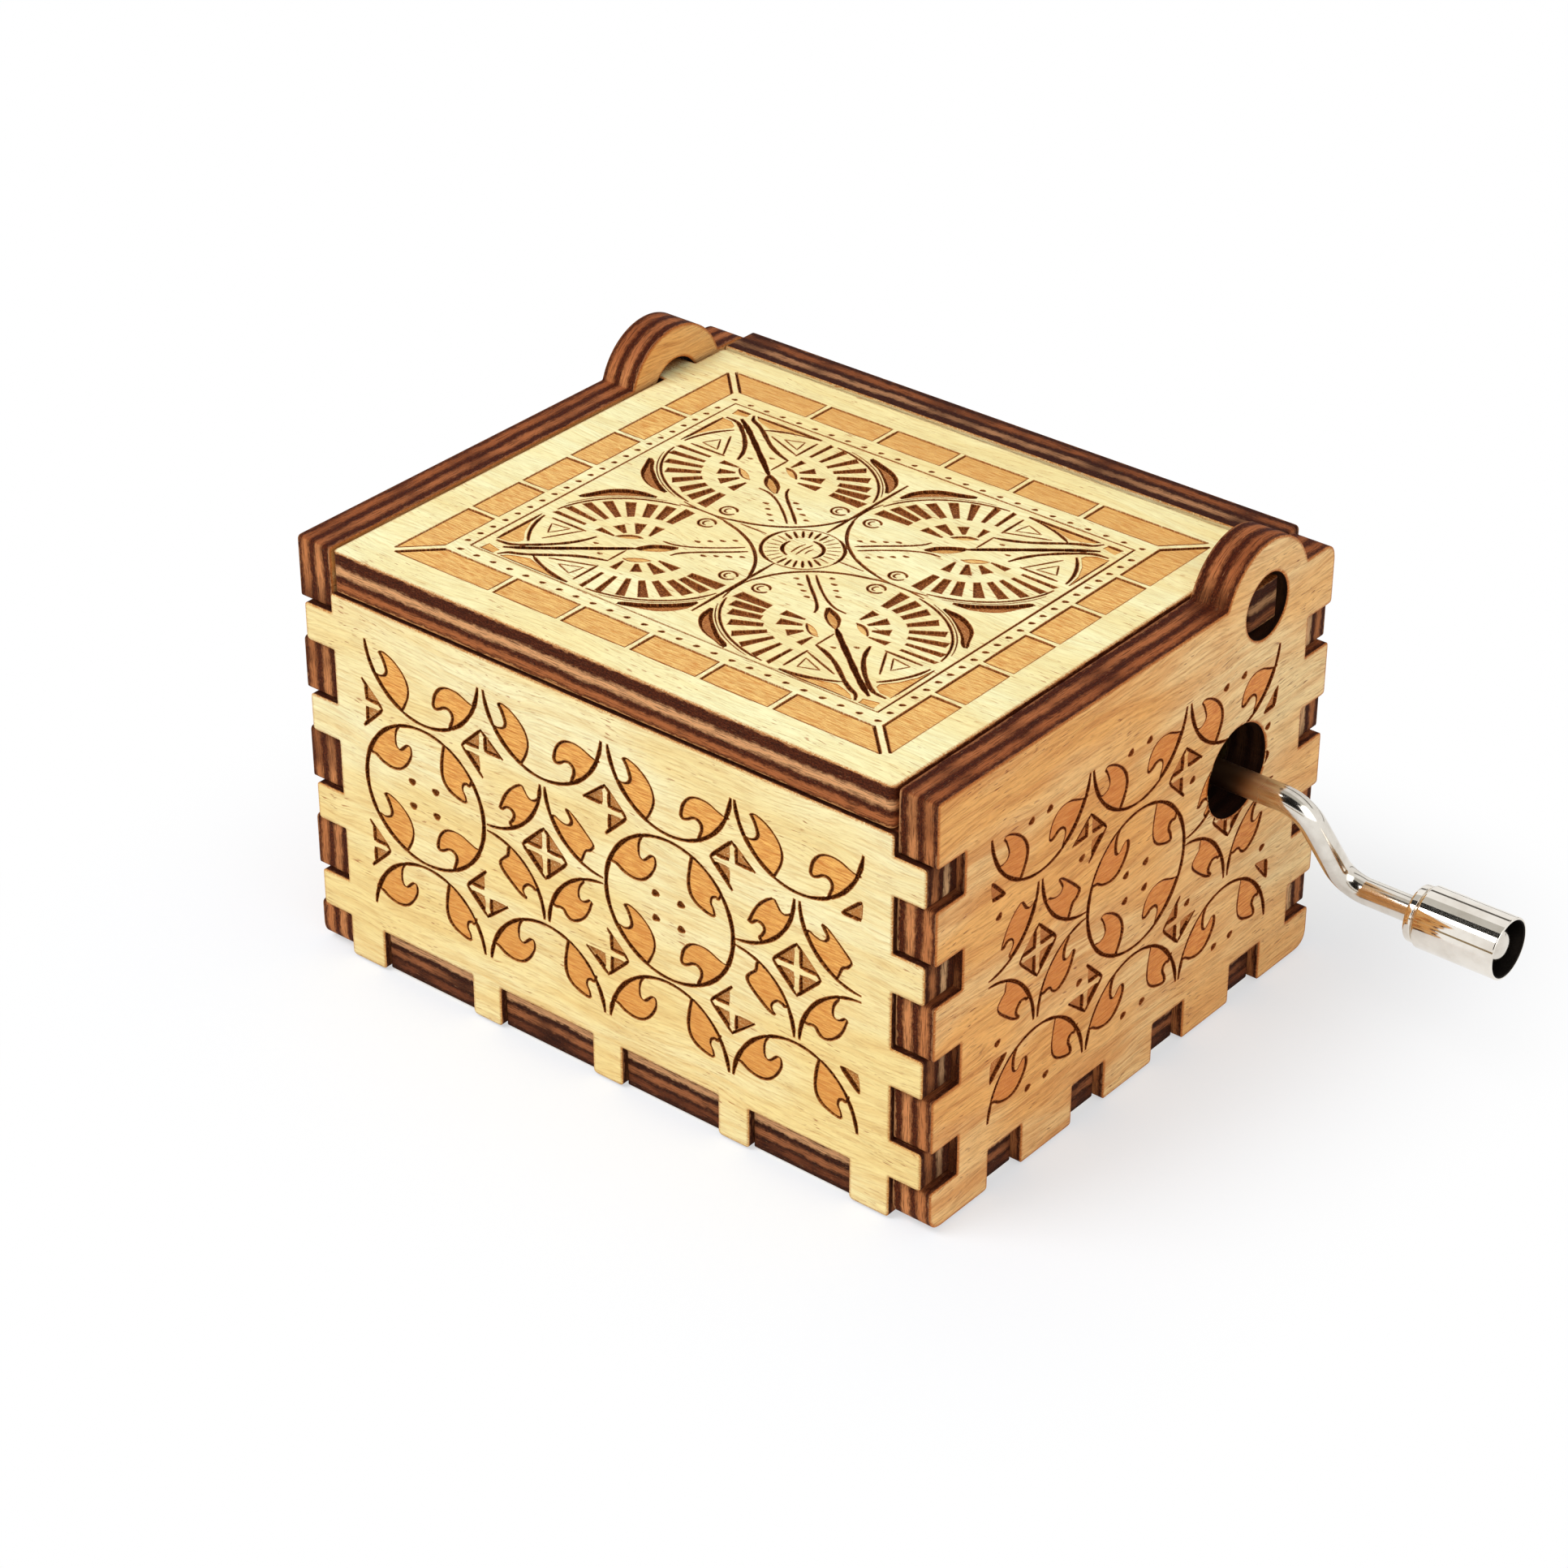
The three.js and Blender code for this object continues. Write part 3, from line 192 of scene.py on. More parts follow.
# Half width of a diamond in a star, of one between the cells and of its cross; what its triangles lose at their
# tips, and what an outer one gains.
DIAMOND, SMALL_DIAMOND, CROSS, TIP, STRETCH = 2.3, 2.12, 0.34, 0.1, 0.35
TRIANGLE_BURN = 0.34
# Width, height, lean and strength of a dot, and its three-lobed unevenness.
CELL_DOT, SIDE_DOT = (0.74, 0.6, 0.15, 0.75), (0.72, 0.58, 0.2, 0.7)
DOT_STEP, DOT_LOBES, DOT_UNEVEN, DOT_PHASE_PER_MM = 30, 3, 0.12, 5


def leaf(drawing, edges, centre, radii, at):
    """One stained leaf between its free edge and the arc that it hangs on, with its burnt outline."""
    edges = [np.asarray(e, float) for e in edges]
    c = np.asarray(centre, float)

    def under(point):
        d = (point - c) / radii
        return c + d / np.linalg.norm(d) * radii

    edges[0] = np.vstack([under(edges[0][0]), edges[0]])
    edges[-1] = np.vstack([edges[-1], under(edges[-1][-1])])
    runs = [smooth_run(e) for e in edges]
    free = np.vstack(runs)
    drawing.area(np.vstack([free, arc_back(c, radii, free[-1], free[0])[1:-1]]) + at)
    for run in runs:
        drawing.line(run + at, LEAF_PEN)


def round_cell(drawing, at, leaves, start=0, end=360, radii=RING):
    pen = VINE_PEN._replace(taper=0.0) if end - start == 360 else VINE_PEN
    drawing.line(arc(at, radii, start, end), pen)
    for name in leaves:
        leaf(drawing, ROUND_LEAVES[name], (0, 0), radii, at)


def dot(drawing, at, wide, high, lean, strength):
    a = np.radians(np.arange(0, 360, DOT_STEP))
    r = 0.5 * (1 + DOT_UNEVEN * np.sin(DOT_LOBES * a + at[0] * DOT_PHASE_PER_MM))
    x, y = wide * r * np.cos(a), high * r * np.sin(a)
    drawing.burnt(np.stack([at[0] + x + lean * y, at[1] + y], 1), strength)


def four_triangles(drawing, at, half, missing=(), stretched=()):
    """Diamond cut by an upright cross: a deep stained triangle in each quarter, and the burnt side outside."""
    for quarter in QUARTERS:
        if quarter in missing:
            continue
        longer = quarter in stretched
        wide = half + (STRETCH if longer else 0.0)
        p = np.array([(CROSS, CROSS), (wide - CROSS - TIP, CROSS), (CROSS, half - CROSS - TIP)]) * quarter + at
        drawing.burnt(p, TRIANGLE_BURN)
        drawing.run(p[[0, 1]], LEG_PEN)
        drawing.run(p[[0, 2]], LEG_PEN)
        side = np.array([(wide, 0.0), (wide - 0.25, 0.3), (0.22, half - 0.2), (0.0, half + 0.05)])
        drawing.line((side[1:] if longer else side) * quarter + at, SIDE_PEN)


def star_cell(drawing, at):
    for sx, sy in QUARTERS:
        corner = np.array([sx * STAR_CORNER[0], sy * STAR_CORNER[1]])
        middle = math.degrees(math.atan2(-sy, -sx))
        drawing.line(arc(corner + at, STAR_ARC, middle - STAR_SPREAD, middle + STAR_SPREAD), STAR_PEN)
        leaf(drawing, STAR_LEAVES[(sx, sy)], corner, STAR_ARC, at)
    four_triangles(drawing, at, DIAMOND)


def corner_diamond(drawing, at, side, up):
    """Diamond between two rows, whose quarter towards the star is missing and the one across from it longer."""
    four_triangles(drawing, at, SMALL_DIAMOND, [(side, up)], [(side, -up)])


def loose_triangle(drawing, corners):
    """A lone triangle at the end of a row, stained, its longest side burnt thickest."""
    p = np.array(corners)
    drawing.burnt(p, TRIANGLE_BURN)
    for i, width in enumerate(TRIANGLE_WIDTHS):
        drawing.run([p[i], p[(i + 1) % 3]], Pen(width, 0.0, TRIANGLE_STRENGTH, 0.2))


def scrollwork(rounds, stars, upper_row, lower_row, row_ends, triangles):
    """A wall's cells at their places, half cells above and below them, and lone triangles at the ends."""
    d = Drawing()
    for at in rounds:
        round_cell(d, at, ROUND_LEAVES)
    for at in stars:
        star_cell(d, at)
    for at in upper_row:
        round_cell(d, at, ("lower left", "lower right"), -174, -6, ROW)
    for at in lower_row:
        round_cell(d, at, ("upper left", "upper right"), row_ends, 180 - row_ends, ROW)
    for corners in triangles:
        loose_triangle(d, corners)
    return d


def front_drawing():
    round_places, middle = (-18.9, 6.75), 18.8
    d = scrollwork(
        rounds=[(x, middle) for x in round_places],
        stars=[(x, 18.78) for x in (-6.05, 19.35)],
        upper_row=[(x, 32.0) for x in (-18.65, -5.9, 6.92, 19.45)],
        lower_row=[(x, 5.75) for x in (-19.05, -6.2, 6.55, 19.15)],
        row_ends=6,
        triangles=[[(25.35, 25.65), (23.6, 25.65), (25.45, 27.3)],
                   [(25.25, 11.85), (23.6, 11.9), (25.4, 10.2)]],
    )
    for x in round_places:
        for sx, sy in QUARTERS:
            dot(d, (x - 0.05 + 1.28 * sx, 18.73 + 1.13 * sy), *CELL_DOT)
    for x, side in ((-12.4, 1), (0.45, -1), (13.1, 1)):
        corner_diamond(d, (x, 25.45), side, -1)
        corner_diamond(d, (x - 0.1, 12.35), side, 1)
    for z in (25.4, 12.15):
        four_triangles(d, (-25.3, z), SMALL_DIAMOND, [(-1, 1), (-1, -1)])
    return d


def side_drawing():
    d = scrollwork(
        rounds=[(-0.15, 19.15)],
        stars=[(-12.9, 19.2), (12.55, 19.3)],
        upper_row=[(y, 32.6) for y in (-13.1, -0.5, 12.25)],
        lower_row=[(y, 5.75) for y in (-12.55, 0.1, 12.7)],
        row_ends=5,
        triangles=[[(-18.85, 26.45), (-17.3, 26.4), (-19.0, 28.1)],
                   [(-18.4, 11.75), (-16.5, 11.75), (-18.5, 9.9)],
                   [(18.2, 26.35), (16.7, 26.3), (18.5, 28.0)], [(18.7, 11.7), (17.0, 12.0), (18.8, 9.95)]],
    )
    for y in (-1.6, 1.0):
        for z in (20.2, 17.85):
            dot(d, (y, z), *CELL_DOT)
    for y, z, side, up in ((-6.7, 26.05, -1, -1), (5.85, 26.0, 1, -1),
                           (-6.35, 12.25, -1, 1), (6.15, 12.25, 1, 1)):
        corner_diamond(d, (y, z), side, up)
    for z, places in ((31.25, (-14.3, -12.05, -1.75, 0.7)), (31.2, (11.0, 13.45)),
                      (24.75, (-18.0, -7.65, 6.95)),
                      (6.9, (-13.6, -11.3, -1.05, 1.5, 11.5, 13.8)), (24.8, (17.4,)), (13.25, (-17.7,)),
                      (13.3, (-7.3, 7.2, 17.75))):
        for y in places:
            dot(d, (y, z), *SIDE_DOT)
    return d


# The lid: a border of stained blocks, a dotted frame, four wheels and the medallion between them

LID_CENTRE = np.array([0.3, -2.2])
WHEEL = (9.8, 7.9)
BORDER_X, BORDER_Y, BAND = (-24.6, 24.9), (-22.7, 18.9), 2.8
BLOCK_GAP = 0.275
MITRE = 1.85 * BLOCK_GAP
CUTS_X, CUTS_Y = (-13.9, -6.85, 0.15, 7.1, 14.1), (-13.5, -7.6, -1.8, 4.1, 10.0)
OUTER_PEN, INNER_PEN, MITRE_PEN = Pen(0.11, 0.0, 0.4, 0.0), Pen(0.15, 0.0, 0.62, 0.0), Pen(0.19, 0.0, 0.95, 0.0)
FRAME_CORNERS = [(-20.3, 14.3), (20.6, 14.3), (20.6, -18.2), (-20.2, -18.2)]
FRAME_STRENGTHS = (0.45, 0.8, 0.3, 0.5)
AXIS_PEN, SHORT_AXIS_PEN = Pen(0.24, 0.0, 0.9, 0.8), Pen(0.14, 0.0, 0.6, 0.8)


def blocks_along(cuts, low, high):
    """Ends of one side's blocks: (outer start, inner start, outer end, inner end), mitred at the corners."""
    starts = [(low + MITRE, low + BAND + MITRE)] + [(c + BLOCK_GAP,) * 2 for c in cuts]
    ends = [(c - BLOCK_GAP,) * 2 for c in cuts] + [(high - MITRE, high - BAND - MITRE)]
    return [(*a, *b) for a, b in zip(starts, ends)]


def block(d, corners, pens):
    d.area(corners)
    for i, pen in enumerate(pens):
        d.run([corners[i], corners[(i + 1) % 4]], pen, 5)


def lid_drawing():
    d = Drawing()
    (x0, x1), (y0, y1) = BORDER_X, BORDER_Y
    for a0, a1, b0, b1 in blocks_along(CUTS_X, x0, x1):
        start, end = (MITRE_PEN if a0 != a1 else INNER_PEN), (MITRE_PEN if b0 != b1 else INNER_PEN)
        block(d, [(a1, y1 - BAND), (b1, y1 - BAND), (b0, y1), (a0, y1)], (INNER_PEN, end, OUTER_PEN, start))
        block(d, [(a0, y0), (b0, y0), (b1, y0 + BAND), (a1, y0 + BAND)], (INNER_PEN, end, OUTER_PEN, start))
    for a0, a1, b0, b1 in blocks_along(CUTS_Y, y0, y1):
        start, end = (MITRE_PEN if a0 != a1 else INNER_PEN), (MITRE_PEN if b0 != b1 else INNER_PEN)
        block(d, [(x0, a0), (x0 + BAND, a1), (x0 + BAND, b1), (x0, b0)], (start, INNER_PEN, end, OUTER_PEN))
        block(d, [(x1 - BAND, a1), (x1, a0), (x1, b0), (x1 - BAND, b1)], (start, OUTER_PEN, end, INNER_PEN))
    for x in np.arange(-20.8, 21.4, 1.74):
        dot(d, (x, 14.8), 0.42, 0.3, 0.5, 0.8)
        dot(d, (x + 0.4, -19.15), 0.44, 0.32, 0.6, 0.85)
    for y in np.arange(-17.7, 14.2, 1.45):
        dot(d, (-20.95, y), 0.4, 0.34, 0.4, 0.8)
        dot(d, (21.35, y), 0.42, 0.36, 0.5, 0.85)
    for i, strength in enumerate(FRAME_STRENGTHS):
        d.run([FRAME_CORNERS[i], FRAME_CORNERS[(i + 1) % 4]], Pen(0.16, 0.0, strength, 0.0), 12)
    for quarter in QUARTERS:
        wheel(d, quarter)
    medallion(d)
    for top, low in ((11.6, 1.2), (-5.3, -15.2)):
        d.run([(0.12, top), (0.12, low)], AXIS_PEN)
    for side in (-1, 1):
        d.run([(0.1 + side * 3.6, -1.95), (0.1 + side * 6.2, -1.95)], SHORT_AXIS_PEN)
    return d


# A wheel in its own (p, q): its rim is the unit circle, and both grow outwards from the lid's centre.
# Rim: pen, radii, start and end, thin towards the medallion and thick by the stained corners.
RIM_ARCS = [
    (Pen(0.14, 0.0, 0.7, 0.9), (1.0, 1.0), (165, 285)), (Pen(0.2, 0.0, 0.85, 0.8), (0.99, 0.99), (192, 258)),
    (Pen(0.17, 0.0, 0.9, 0.9), (0.975, 0.97), (96, 166)), (Pen(0.1, 0.0, 0.4, 0.9), (1.01, 1.01), (104, 158)),
    (Pen(0.17, 0.0, 0.9, 0.9), (0.975, 0.97), (-76, -6)), (Pen(0.1, 0.0, 0.4, 0.9), (1.01, 1.01), (-68, -14)),
    (Pen(0.24, 0.0, 0.9, 0.9), (0.985, 0.985), (5, 37)), (Pen(0.24, 0.0, 0.9, 0.9), (0.985, 0.985), (53, 85)),
]
# Lines that are drawn once: the spear, the two from its head to the medallion, its flanks, one return and the
# outer sides of the stained corners.
SINGLE_LINES = [
    (Pen(0.42, 0.0, 1.25, 1.1, 0.4),
     [(0.87, 0.845), (0.765, 0.757), (0.602, 0.608), (0.398, 0.405), (0.194, 0.203), (0.03, 0.035)]),
    (Pen(0.16, 0.0, 0.85, 0.6),
     [(-0.633, -0.671), (-0.52, -0.544), (-0.378, -0.405), (-0.265, -0.316), (-0.163, -0.266),
      (-0.061, -0.253)]),
    (Pen(0.2, 0.0, 0.9, 0.6),
     [(-0.694, -0.62), (-0.571, -0.481), (-0.449, -0.354), (-0.347, -0.241), (-0.286, -0.152),
      (-0.26, -0.076)]),
    (Pen(0.32, 0.0, 0.95, 1.2),
     [(0.408, 0.1), (0.449, 0.235), (0.52, 0.38), (0.622, 0.525), (0.714, 0.63), (0.8, 0.717),
      (0.878, 0.765), (0.99, 0.78)]),
    (Pen(0.32, 0.0, 0.95, 1.2),
     [(0.071, 0.405), (0.194, 0.456), (0.337, 0.544), (0.459, 0.65), (0.582, 0.765), (0.684, 0.845),
      (0.776, 0.9), (0.827, 0.985)]),
    (Pen(0.15, 0.0, 0.7, 0.4), [(0.071, 0.13), (0.071, 0.405)]),
    (Pen(0.17, 0.0, 0.85, 0.4), [(1.015, 0.08), (1.015, 0.745)]),
    (Pen(0.17, 0.0, 0.85, 0.4), [(0.08, 0.992), (0.79, 0.992)]),
    (Pen(0.17, 0.0, 0.85, 0.4), [(0.87, 0.992), (1.01, 0.992)]),
]
# Lines that are drawn twice, the second time with p and q exchanged, beside the spear's windows.
PAIRED_LINES = [
    (Pen(0.2, 0.0, 0.85, 0.6), [(0.076, 0.54), (0.076, 0.9)]),
    (Pen(0.15, 0.0, 0.75, 0.6), [(0.09, 0.56), (0.46, 0.73)]),
]
WINDOW, WINDOW_PEN = [(0.14, 0.66), (0.34, 0.76), (0.17, 0.84)], Pen(0.12, 0.0, 0.5, 0.3)
SPEAR_HEAD = [(-0.225, -0.235), (-0.123, -0.186), (-0.049, -0.125), (0.0, -0.045), (0.02, 0.03), (-0.049, 0.0),
              (-0.123, -0.06), (-0.18, -0.13), (-0.225, -0.235)]
HEAD_PEN, HEAD_BURN = Pen(0.24, 0.0, 0.95, 0.0), 0.17
STAINED_CORNERS = [
    [(1.01, 0.08), (0.985, 0.28), (0.915, 0.465), (0.82, 0.615), (0.83, 0.67), (0.905, 0.735), (1.02, 0.745)],
    [(0.08, 0.985), (0.378, 0.93), (0.57, 0.855), (0.69, 0.9), (0.755, 0.94), (0.79, 0.99)],
    [(0.857, 0.915), (1.0, 0.875), (1.01, 0.985), (0.87, 0.99)],
]
# Slots of a fan: outer end, inner end, outer and inner width in mm before they are widened.
LONG_SLOTS = [((0.11, -0.915), (0.108, -0.587), 0.9, 0.56), ((0.275, -0.86), (0.215, -0.577), 0.82, 0.56),
              ((0.424, -0.785), (0.322, -0.53), 0.82, 0.52), ((0.588, -0.68), (0.424, -0.446), 0.78, 0.46),
              ((0.748, -0.546), (0.499, -0.359), 0.72, 0.42), ((0.86, -0.383), (0.549, -0.258), 0.66, 0.34),
              ((0.935, -0.202), (0.598, -0.152), 0.54, 0.28), ((0.96, -0.045), (0.62, -0.032), 0.36, 0.24)]
SHORT_SLOTS = [((0.112, -0.45), (0.085, -0.25), 0.72, 0.14), ((0.276, -0.39), (0.186, -0.21), 0.85, 0.22),
               ((0.398, -0.227), (0.272, -0.145), 0.82, 0.2), ((0.487, -0.045), (0.312, -0.03), 0.55, 0.12)]
LONG_BURN, SHORT_BURN, SLOT_WIDENING, SLOT_LEAN = 0.72, 0.74, 1.1, 0.03
CRESCENT = [(0.487, -0.926), (0.645, -0.91), (0.78, -0.838), (0.877, -0.727), (0.938, -0.582), (0.99, -0.455),
            (0.935, -0.5), (0.86, -0.615), (0.765, -0.715), (0.69, -0.785), (0.6, -0.86)]
CRESCENT_PEN, CRESCENT_BURN = Pen(0.26, 0.0, 1.0, 0.0), 0.46
# Rings: pen, radii in mm, start and end; the buds beside the spear's head, in mm about their places.
RING_PLACE, BUD_PLACE = (-0.83, -0.125), (0.2, -0.1)
RINGS = [(Pen(0.17, 0.0, 0.8, 0.3), (0.72, 0.66), (20, 345)),
         (Pen(0.14, 0.0, 0.6, 0.3), (0.3, 0.34), (100, 290))]
BUD = [(-1.0, 0.55), (-0.3, 0.52), (0.4, 0.1), (0.95, -0.5), (0.3, -0.42), (-0.45, 0.0)]
BUD_PEN, BUD_STAIN = Pen(0.15, 0.0, 0.7, 0.3), 0.9
DOT_ROW = [((-0.72 + 0.085 * k, -0.5 + 0.075 * k), (0.42 + 0.08 * (k % 2), 0.26, 0.5, 0.65)) for k in range(4)]
SPEAR_DOT = ((0.34, 0.2), (0.46, 0.26, 0.4, 0.5))


def closed(points):
    p = np.asarray(points, float)
    return np.vstack([p, p[:1]])


def both(points):
    """The points, and the same with p and q exchanged."""
    p = np.asarray(points, float)
    return p, p[..., ::-1]


def slot(a, b, wide, narrow):
    """A fan's slot from its outer end a to its inner end b, its outer end slightly bent."""
    n = SLOT_WIDENING * np.array([-(b - a)[1], (b - a)[0]]) / np.linalg.norm(b - a)
    lean = (b - a) * SLOT_LEAN
    return np.array([a + n * wide / 2 + lean, a + lean * 0.2, a - n * wide / 2 - lean * 0.6,
                     b - n * narrow / 2, b + n * narrow / 2])


def wheel(d, quarter):
    """A quarter's wheel: rim, spear, windows, stained corners, fans, crescents, rings, buds and dots."""

    def at(points):
        return LID_CENTRE + (1 + np.asarray(points, float)) * WHEEL * quarter

    for pen, radii, (start, end) in RIM_ARCS:
        d.line(at(arc((0, 0), radii, start, end)), pen)
    for pen, points in SINGLE_LINES:
        d.line(at(smooth_run(points)), pen)
    for pen, points in PAIRED_LINES:
        for p in both(points):
            d.line(at(smooth_run(p)), pen)
    for p in both(WINDOW):
        for i in range(3):
            d.line(at(smooth_run([p[i], p[(i + 1) % 3]], 5)), WINDOW_PEN)
    head = at(smooth_run(SPEAR_HEAD, 5))
    d.area(head)
    d.burnt(head[:-1], HEAD_BURN)
    d.line(head, HEAD_PEN)
    for corner in STAINED_CORNERS:
        d.area(at(corner))
    for slots, burn in ((LONG_SLOTS, LONG_BURN), (SHORT_SLOTS, SHORT_BURN)):
        for outer, inner, wide, narrow in slots:
            for ends in both([outer, inner]):
                d.burnt(slot(*at(ends), wide, narrow), burn)
    for p in both(CRESCENT):
        d.burnt(at(p), CRESCENT_BURN)
        d.line(at(smooth_run(closed(p), 3)), CRESCENT_PEN)
    for place in both(RING_PLACE):
        for pen, radii, (start, end) in RINGS:
            d.line(arc(at(place), radii, start, end, RING_PER_TURN), pen)
    for place, turned in zip(both(BUD_PLACE), (1, -1)):
        bud = closed(np.array(BUD) * (quarter[0], -quarter[1]) * turned)
        d.area(smooth_run(bud, 4) + at(place), BUD_STAIN)
        d.line(smooth_run(bud[:4], 4) + at(place), BUD_PEN)
    for place, size in DOT_ROW + [SPEAR_DOT]:
        for p in both(place):
            dot(d, at(p), *size)


# Medallion: pen, radii, start and end of its two rings, heavy on two sides; the rays between them.
MEDALLION_SHIFT = (0.12, 0.05)
MEDALLION_RINGS = [
    (Pen(0.24, 0.0, 0.95, 0.9), (3.4, 3.2), (150, 262)), (Pen(0.24, 0.0, 0.95, 0.9), (3.4, 3.2), (-8, 68)),
    (Pen(0.12, 0.0, 0.5, 0.9), (3.4, 3.2), (68, 150)), (Pen(0.12, 0.0, 0.5, 0.9), (3.4, 3.2), (262, 352)),
    (Pen(0.26, 0.0, 1.0, 0.9), (1.7, 1.55), (165, 255)), (Pen(0.26, 0.0, 1.0, 0.9), (1.7, 1.55), (-25, 95)),
]
RAYS, FIRST_RAY, RAY_START, RAY_END = 26, 4, 1.95, 3.0
FIRM_RAY_PEN, FAINT_RAY_PEN = Pen(0.2, 0.0, 0.95, 0.4), Pen(0.11, 0.0, 0.5, 0.4)
FIRM_TOWARDS, FIRM_COSINE = (118, -58), 0.72
HATCHES, HATCH_PEN = ((-0.45, -0.9, 0.75), (0.1, -1.0, 1.0), (0.6, -0.5, 0.45)), Pen(0.13, 0.0, 0.6, 0.4)


def medallion(d):
    """Ringed star in the lid's middle, with three short hatches."""
    c = LID_CENTRE + MEDALLION_SHIFT
    for pen, radii, (start, end) in MEDALLION_RINGS:
        d.line(arc(c, radii, start, end), pen)
    for k in range(RAYS):
        a = math.radians(360 / RAYS * k + FIRST_RAY)
        ray = np.array([math.cos(a), math.sin(a)])
        firm = any(math.cos(a - math.radians(towards)) > FIRM_COSINE for towards in FIRM_TOWARDS)
        d.run([c + ray * RAY_START, c + ray * RAY_END], FIRM_RAY_PEN if firm else FAINT_RAY_PEN, 4)
    for x, low, high in HATCHES:
        d.run([c + (x, low), c + (x - 0.06, 0.0), c + (x + 0.08, high)], HATCH_PEN, 4)


# Engraved boards: the CAD outline, the face cut along its drawing, the walls of its grooves and its cut edges

# In metres: vertices that count as one. In mm: how far a corner may lie below the outer face, and a tenon's
# end face from the farthest point. The last is the least sine of a corner that is kept.
NODE_MERGE, IN_FACE, AT_END, LEAST_BEND = 2e-6, 2e-3, 0.01, 0.01
CONVEX_CUT, CONCAVE_CUT, ROUND_BELOW, CORNER_STEPS, LEAST_GAP = 0.38, 0.12, 40, 6, 1e-3
CUT_TOLERANCE, LEAST_AREA, LEAST_MITRE = 1e-5, 1e-9, 0.3
# All in mm: the face's eased rim, the two loops of its scorch, the depths of grooves and pockets, and how far
# a line's halo reaches.
BEVEL, RIM_NEAR, RIM_FAR = 0.07, 0.1, 0.34
GROOVE, POCKET, HALO = 0.2, 0.07, 0.09
DEPTHS = np.array([0.0, POCKET, GROOVE])
# Scorch of the nearer rim loop, of a halo, of a pocket's walls, and of a groove's walls at their top.
NEAR_RIM_BURN, HALO_BURN, POCKET_WALL_BURN, WALL_TOP_BURN = 0.6, 0.62, 0.35, 0.6
# Painted shade at the lid's tenons, where they sit in the side panels' holes: how far from the end in mm, on the
# face and on the cut edge.
TENON_END, TENON_FACE_SHADE, TENON_EDGE_SHADE = 2.4, 0.8, 0.55
INNER_SHIFT, EDGE_SHIFT = 2.3, 17.0

Board = namedtuple("Board", "top thick shift rim_burn tenons")


def next_of(sides):
    """What follows each vertex along the directed sides that no second face shares."""
    return {a: b for a, b in sides if (b, a) not in sides}


def outline_of(node, across, up, out):
    """Loops round a board's outer face: the directed edges of that plane's faces that no second one shares."""
    bm = bmesh.new()
    bm.from_mesh(node.data)
    bmesh.ops.remove_doubles(bm, verts=bm.verts, dist=NODE_MERGE)
    bm.verts.index_update()
    co = np.array([v.co[:] for v in bm.verts]) / MM
    depth = co @ out
    top, thick = depth.max(), depth.max() - depth.min()
    directed = set()
    for face in bm.faces:
        ids = [v.index for v in face.verts]
        if all(depth[i] > top - IN_FACE for i in ids):
            directed.update(zip(ids, ids[1:] + ids[:1]))
    bm.free()
    follow = next_of(directed)
    flat = np.stack([co @ across, co @ up], 1)
    loops = []
    while follow:
        start, here = next(iter(follow.items()))
        ring = [start]
        del follow[start]
        while here != start:
            ring.append(here)
            here = follow.pop(here)
        p = flat[ring]
        a, b = p - np.roll(p, 1, 0), np.roll(p, -1, 0) - p
        lengths = np.linalg.norm(a, axis=1) * np.linalg.norm(b, axis=1)
        bend = np.abs(a[:, 0] * b[:, 1] - a[:, 1] * b[:, 0]) / lengths
        loops.append(p[bend > LEAST_BEND])
    return loops, top, thick


def eased(loop):
    """Each corner P as B(t) = (1-t)2 A + 2t(1-t) P + t2 B, A and B a cut's length from P on its two sides."""
    before, after = np.roll(loop, 1, 0) - loop, np.roll(loop, -1, 0) - loop
    la, lb = np.linalg.norm(before, axis=1), np.linalg.norm(after, axis=1)
    before, after = before / la[:, None], after / lb[:, None]
    turn = np.degrees(np.arccos(np.clip(-(before * after).sum(1), -1, 1)))
    left = -(before[:, 0] * after[:, 1] - before[:, 1] * after[:, 0]) > 0
    half = 0.5 * np.minimum(la, lb)
    cut = np.minimum(np.where(left, CONVEX_CUT, CONCAVE_CUT), half)
    cut = np.where(turn < ROUND_BELOW, half, cut)[:, None]
    t = np.linspace(0, 1, CORNER_STEPS)[None, :, None]
    a, b = (loop + before * cut)[:, None], (loop + after * cut)[:, None]
    points = ((1 - t) ** 2 * a + 2 * t * (1 - t) * loop[:, None] + t**2 * b).reshape(-1, 2)
    return points[np.linalg.norm(points - np.roll(points, 1, 0), axis=1) > LEAST_GAP]


def inset(loop, distance):
    """The loop moved to its left: p + m d, m the mean of the two edges' normals over its length squared."""
    edge = np.roll(loop, -1, 0) - loop
    n = np.stack([-edge[:, 1], edge[:, 0]], 1) / np.linalg.norm(edge, axis=1)[:, None]
    m = (n + np.roll(n, 1, 0)) / 2
    m /= np.maximum((m**2).sum(1), LEAST_MITRE)[:, None]
    return loop + m * distance


def signed_area(p):
    q = np.roll(p, -1, 0)
    return 0.5 * (p[:, 0] * q[:, 1] - p[:, 1] * q[:, 0]).sum()


def widened(polygon, by):
    return inset(polygon, -by if signed_area(polygon) > 0 else by)


def winding(points, polygon):
    """Signed crossings of a ray from each point, which is how often the closed polygon goes round it."""
    a, b = polygon, np.roll(polygon, -1, 0)
    px, py = points[:, :1], points[:, 1:]
    side = (b[:, 0] - a[:, 0]) * (py - a[:, 1]) - (px - a[:, 0]) * (b[:, 1] - a[:, 1])
    up = (a[:, 1] <= py) & (b[:, 1] > py) & (side > 0)
    down = (a[:, 1] > py) & (b[:, 1] <= py) & (side < 0)
    return up.sum(1) - down.sum(1)


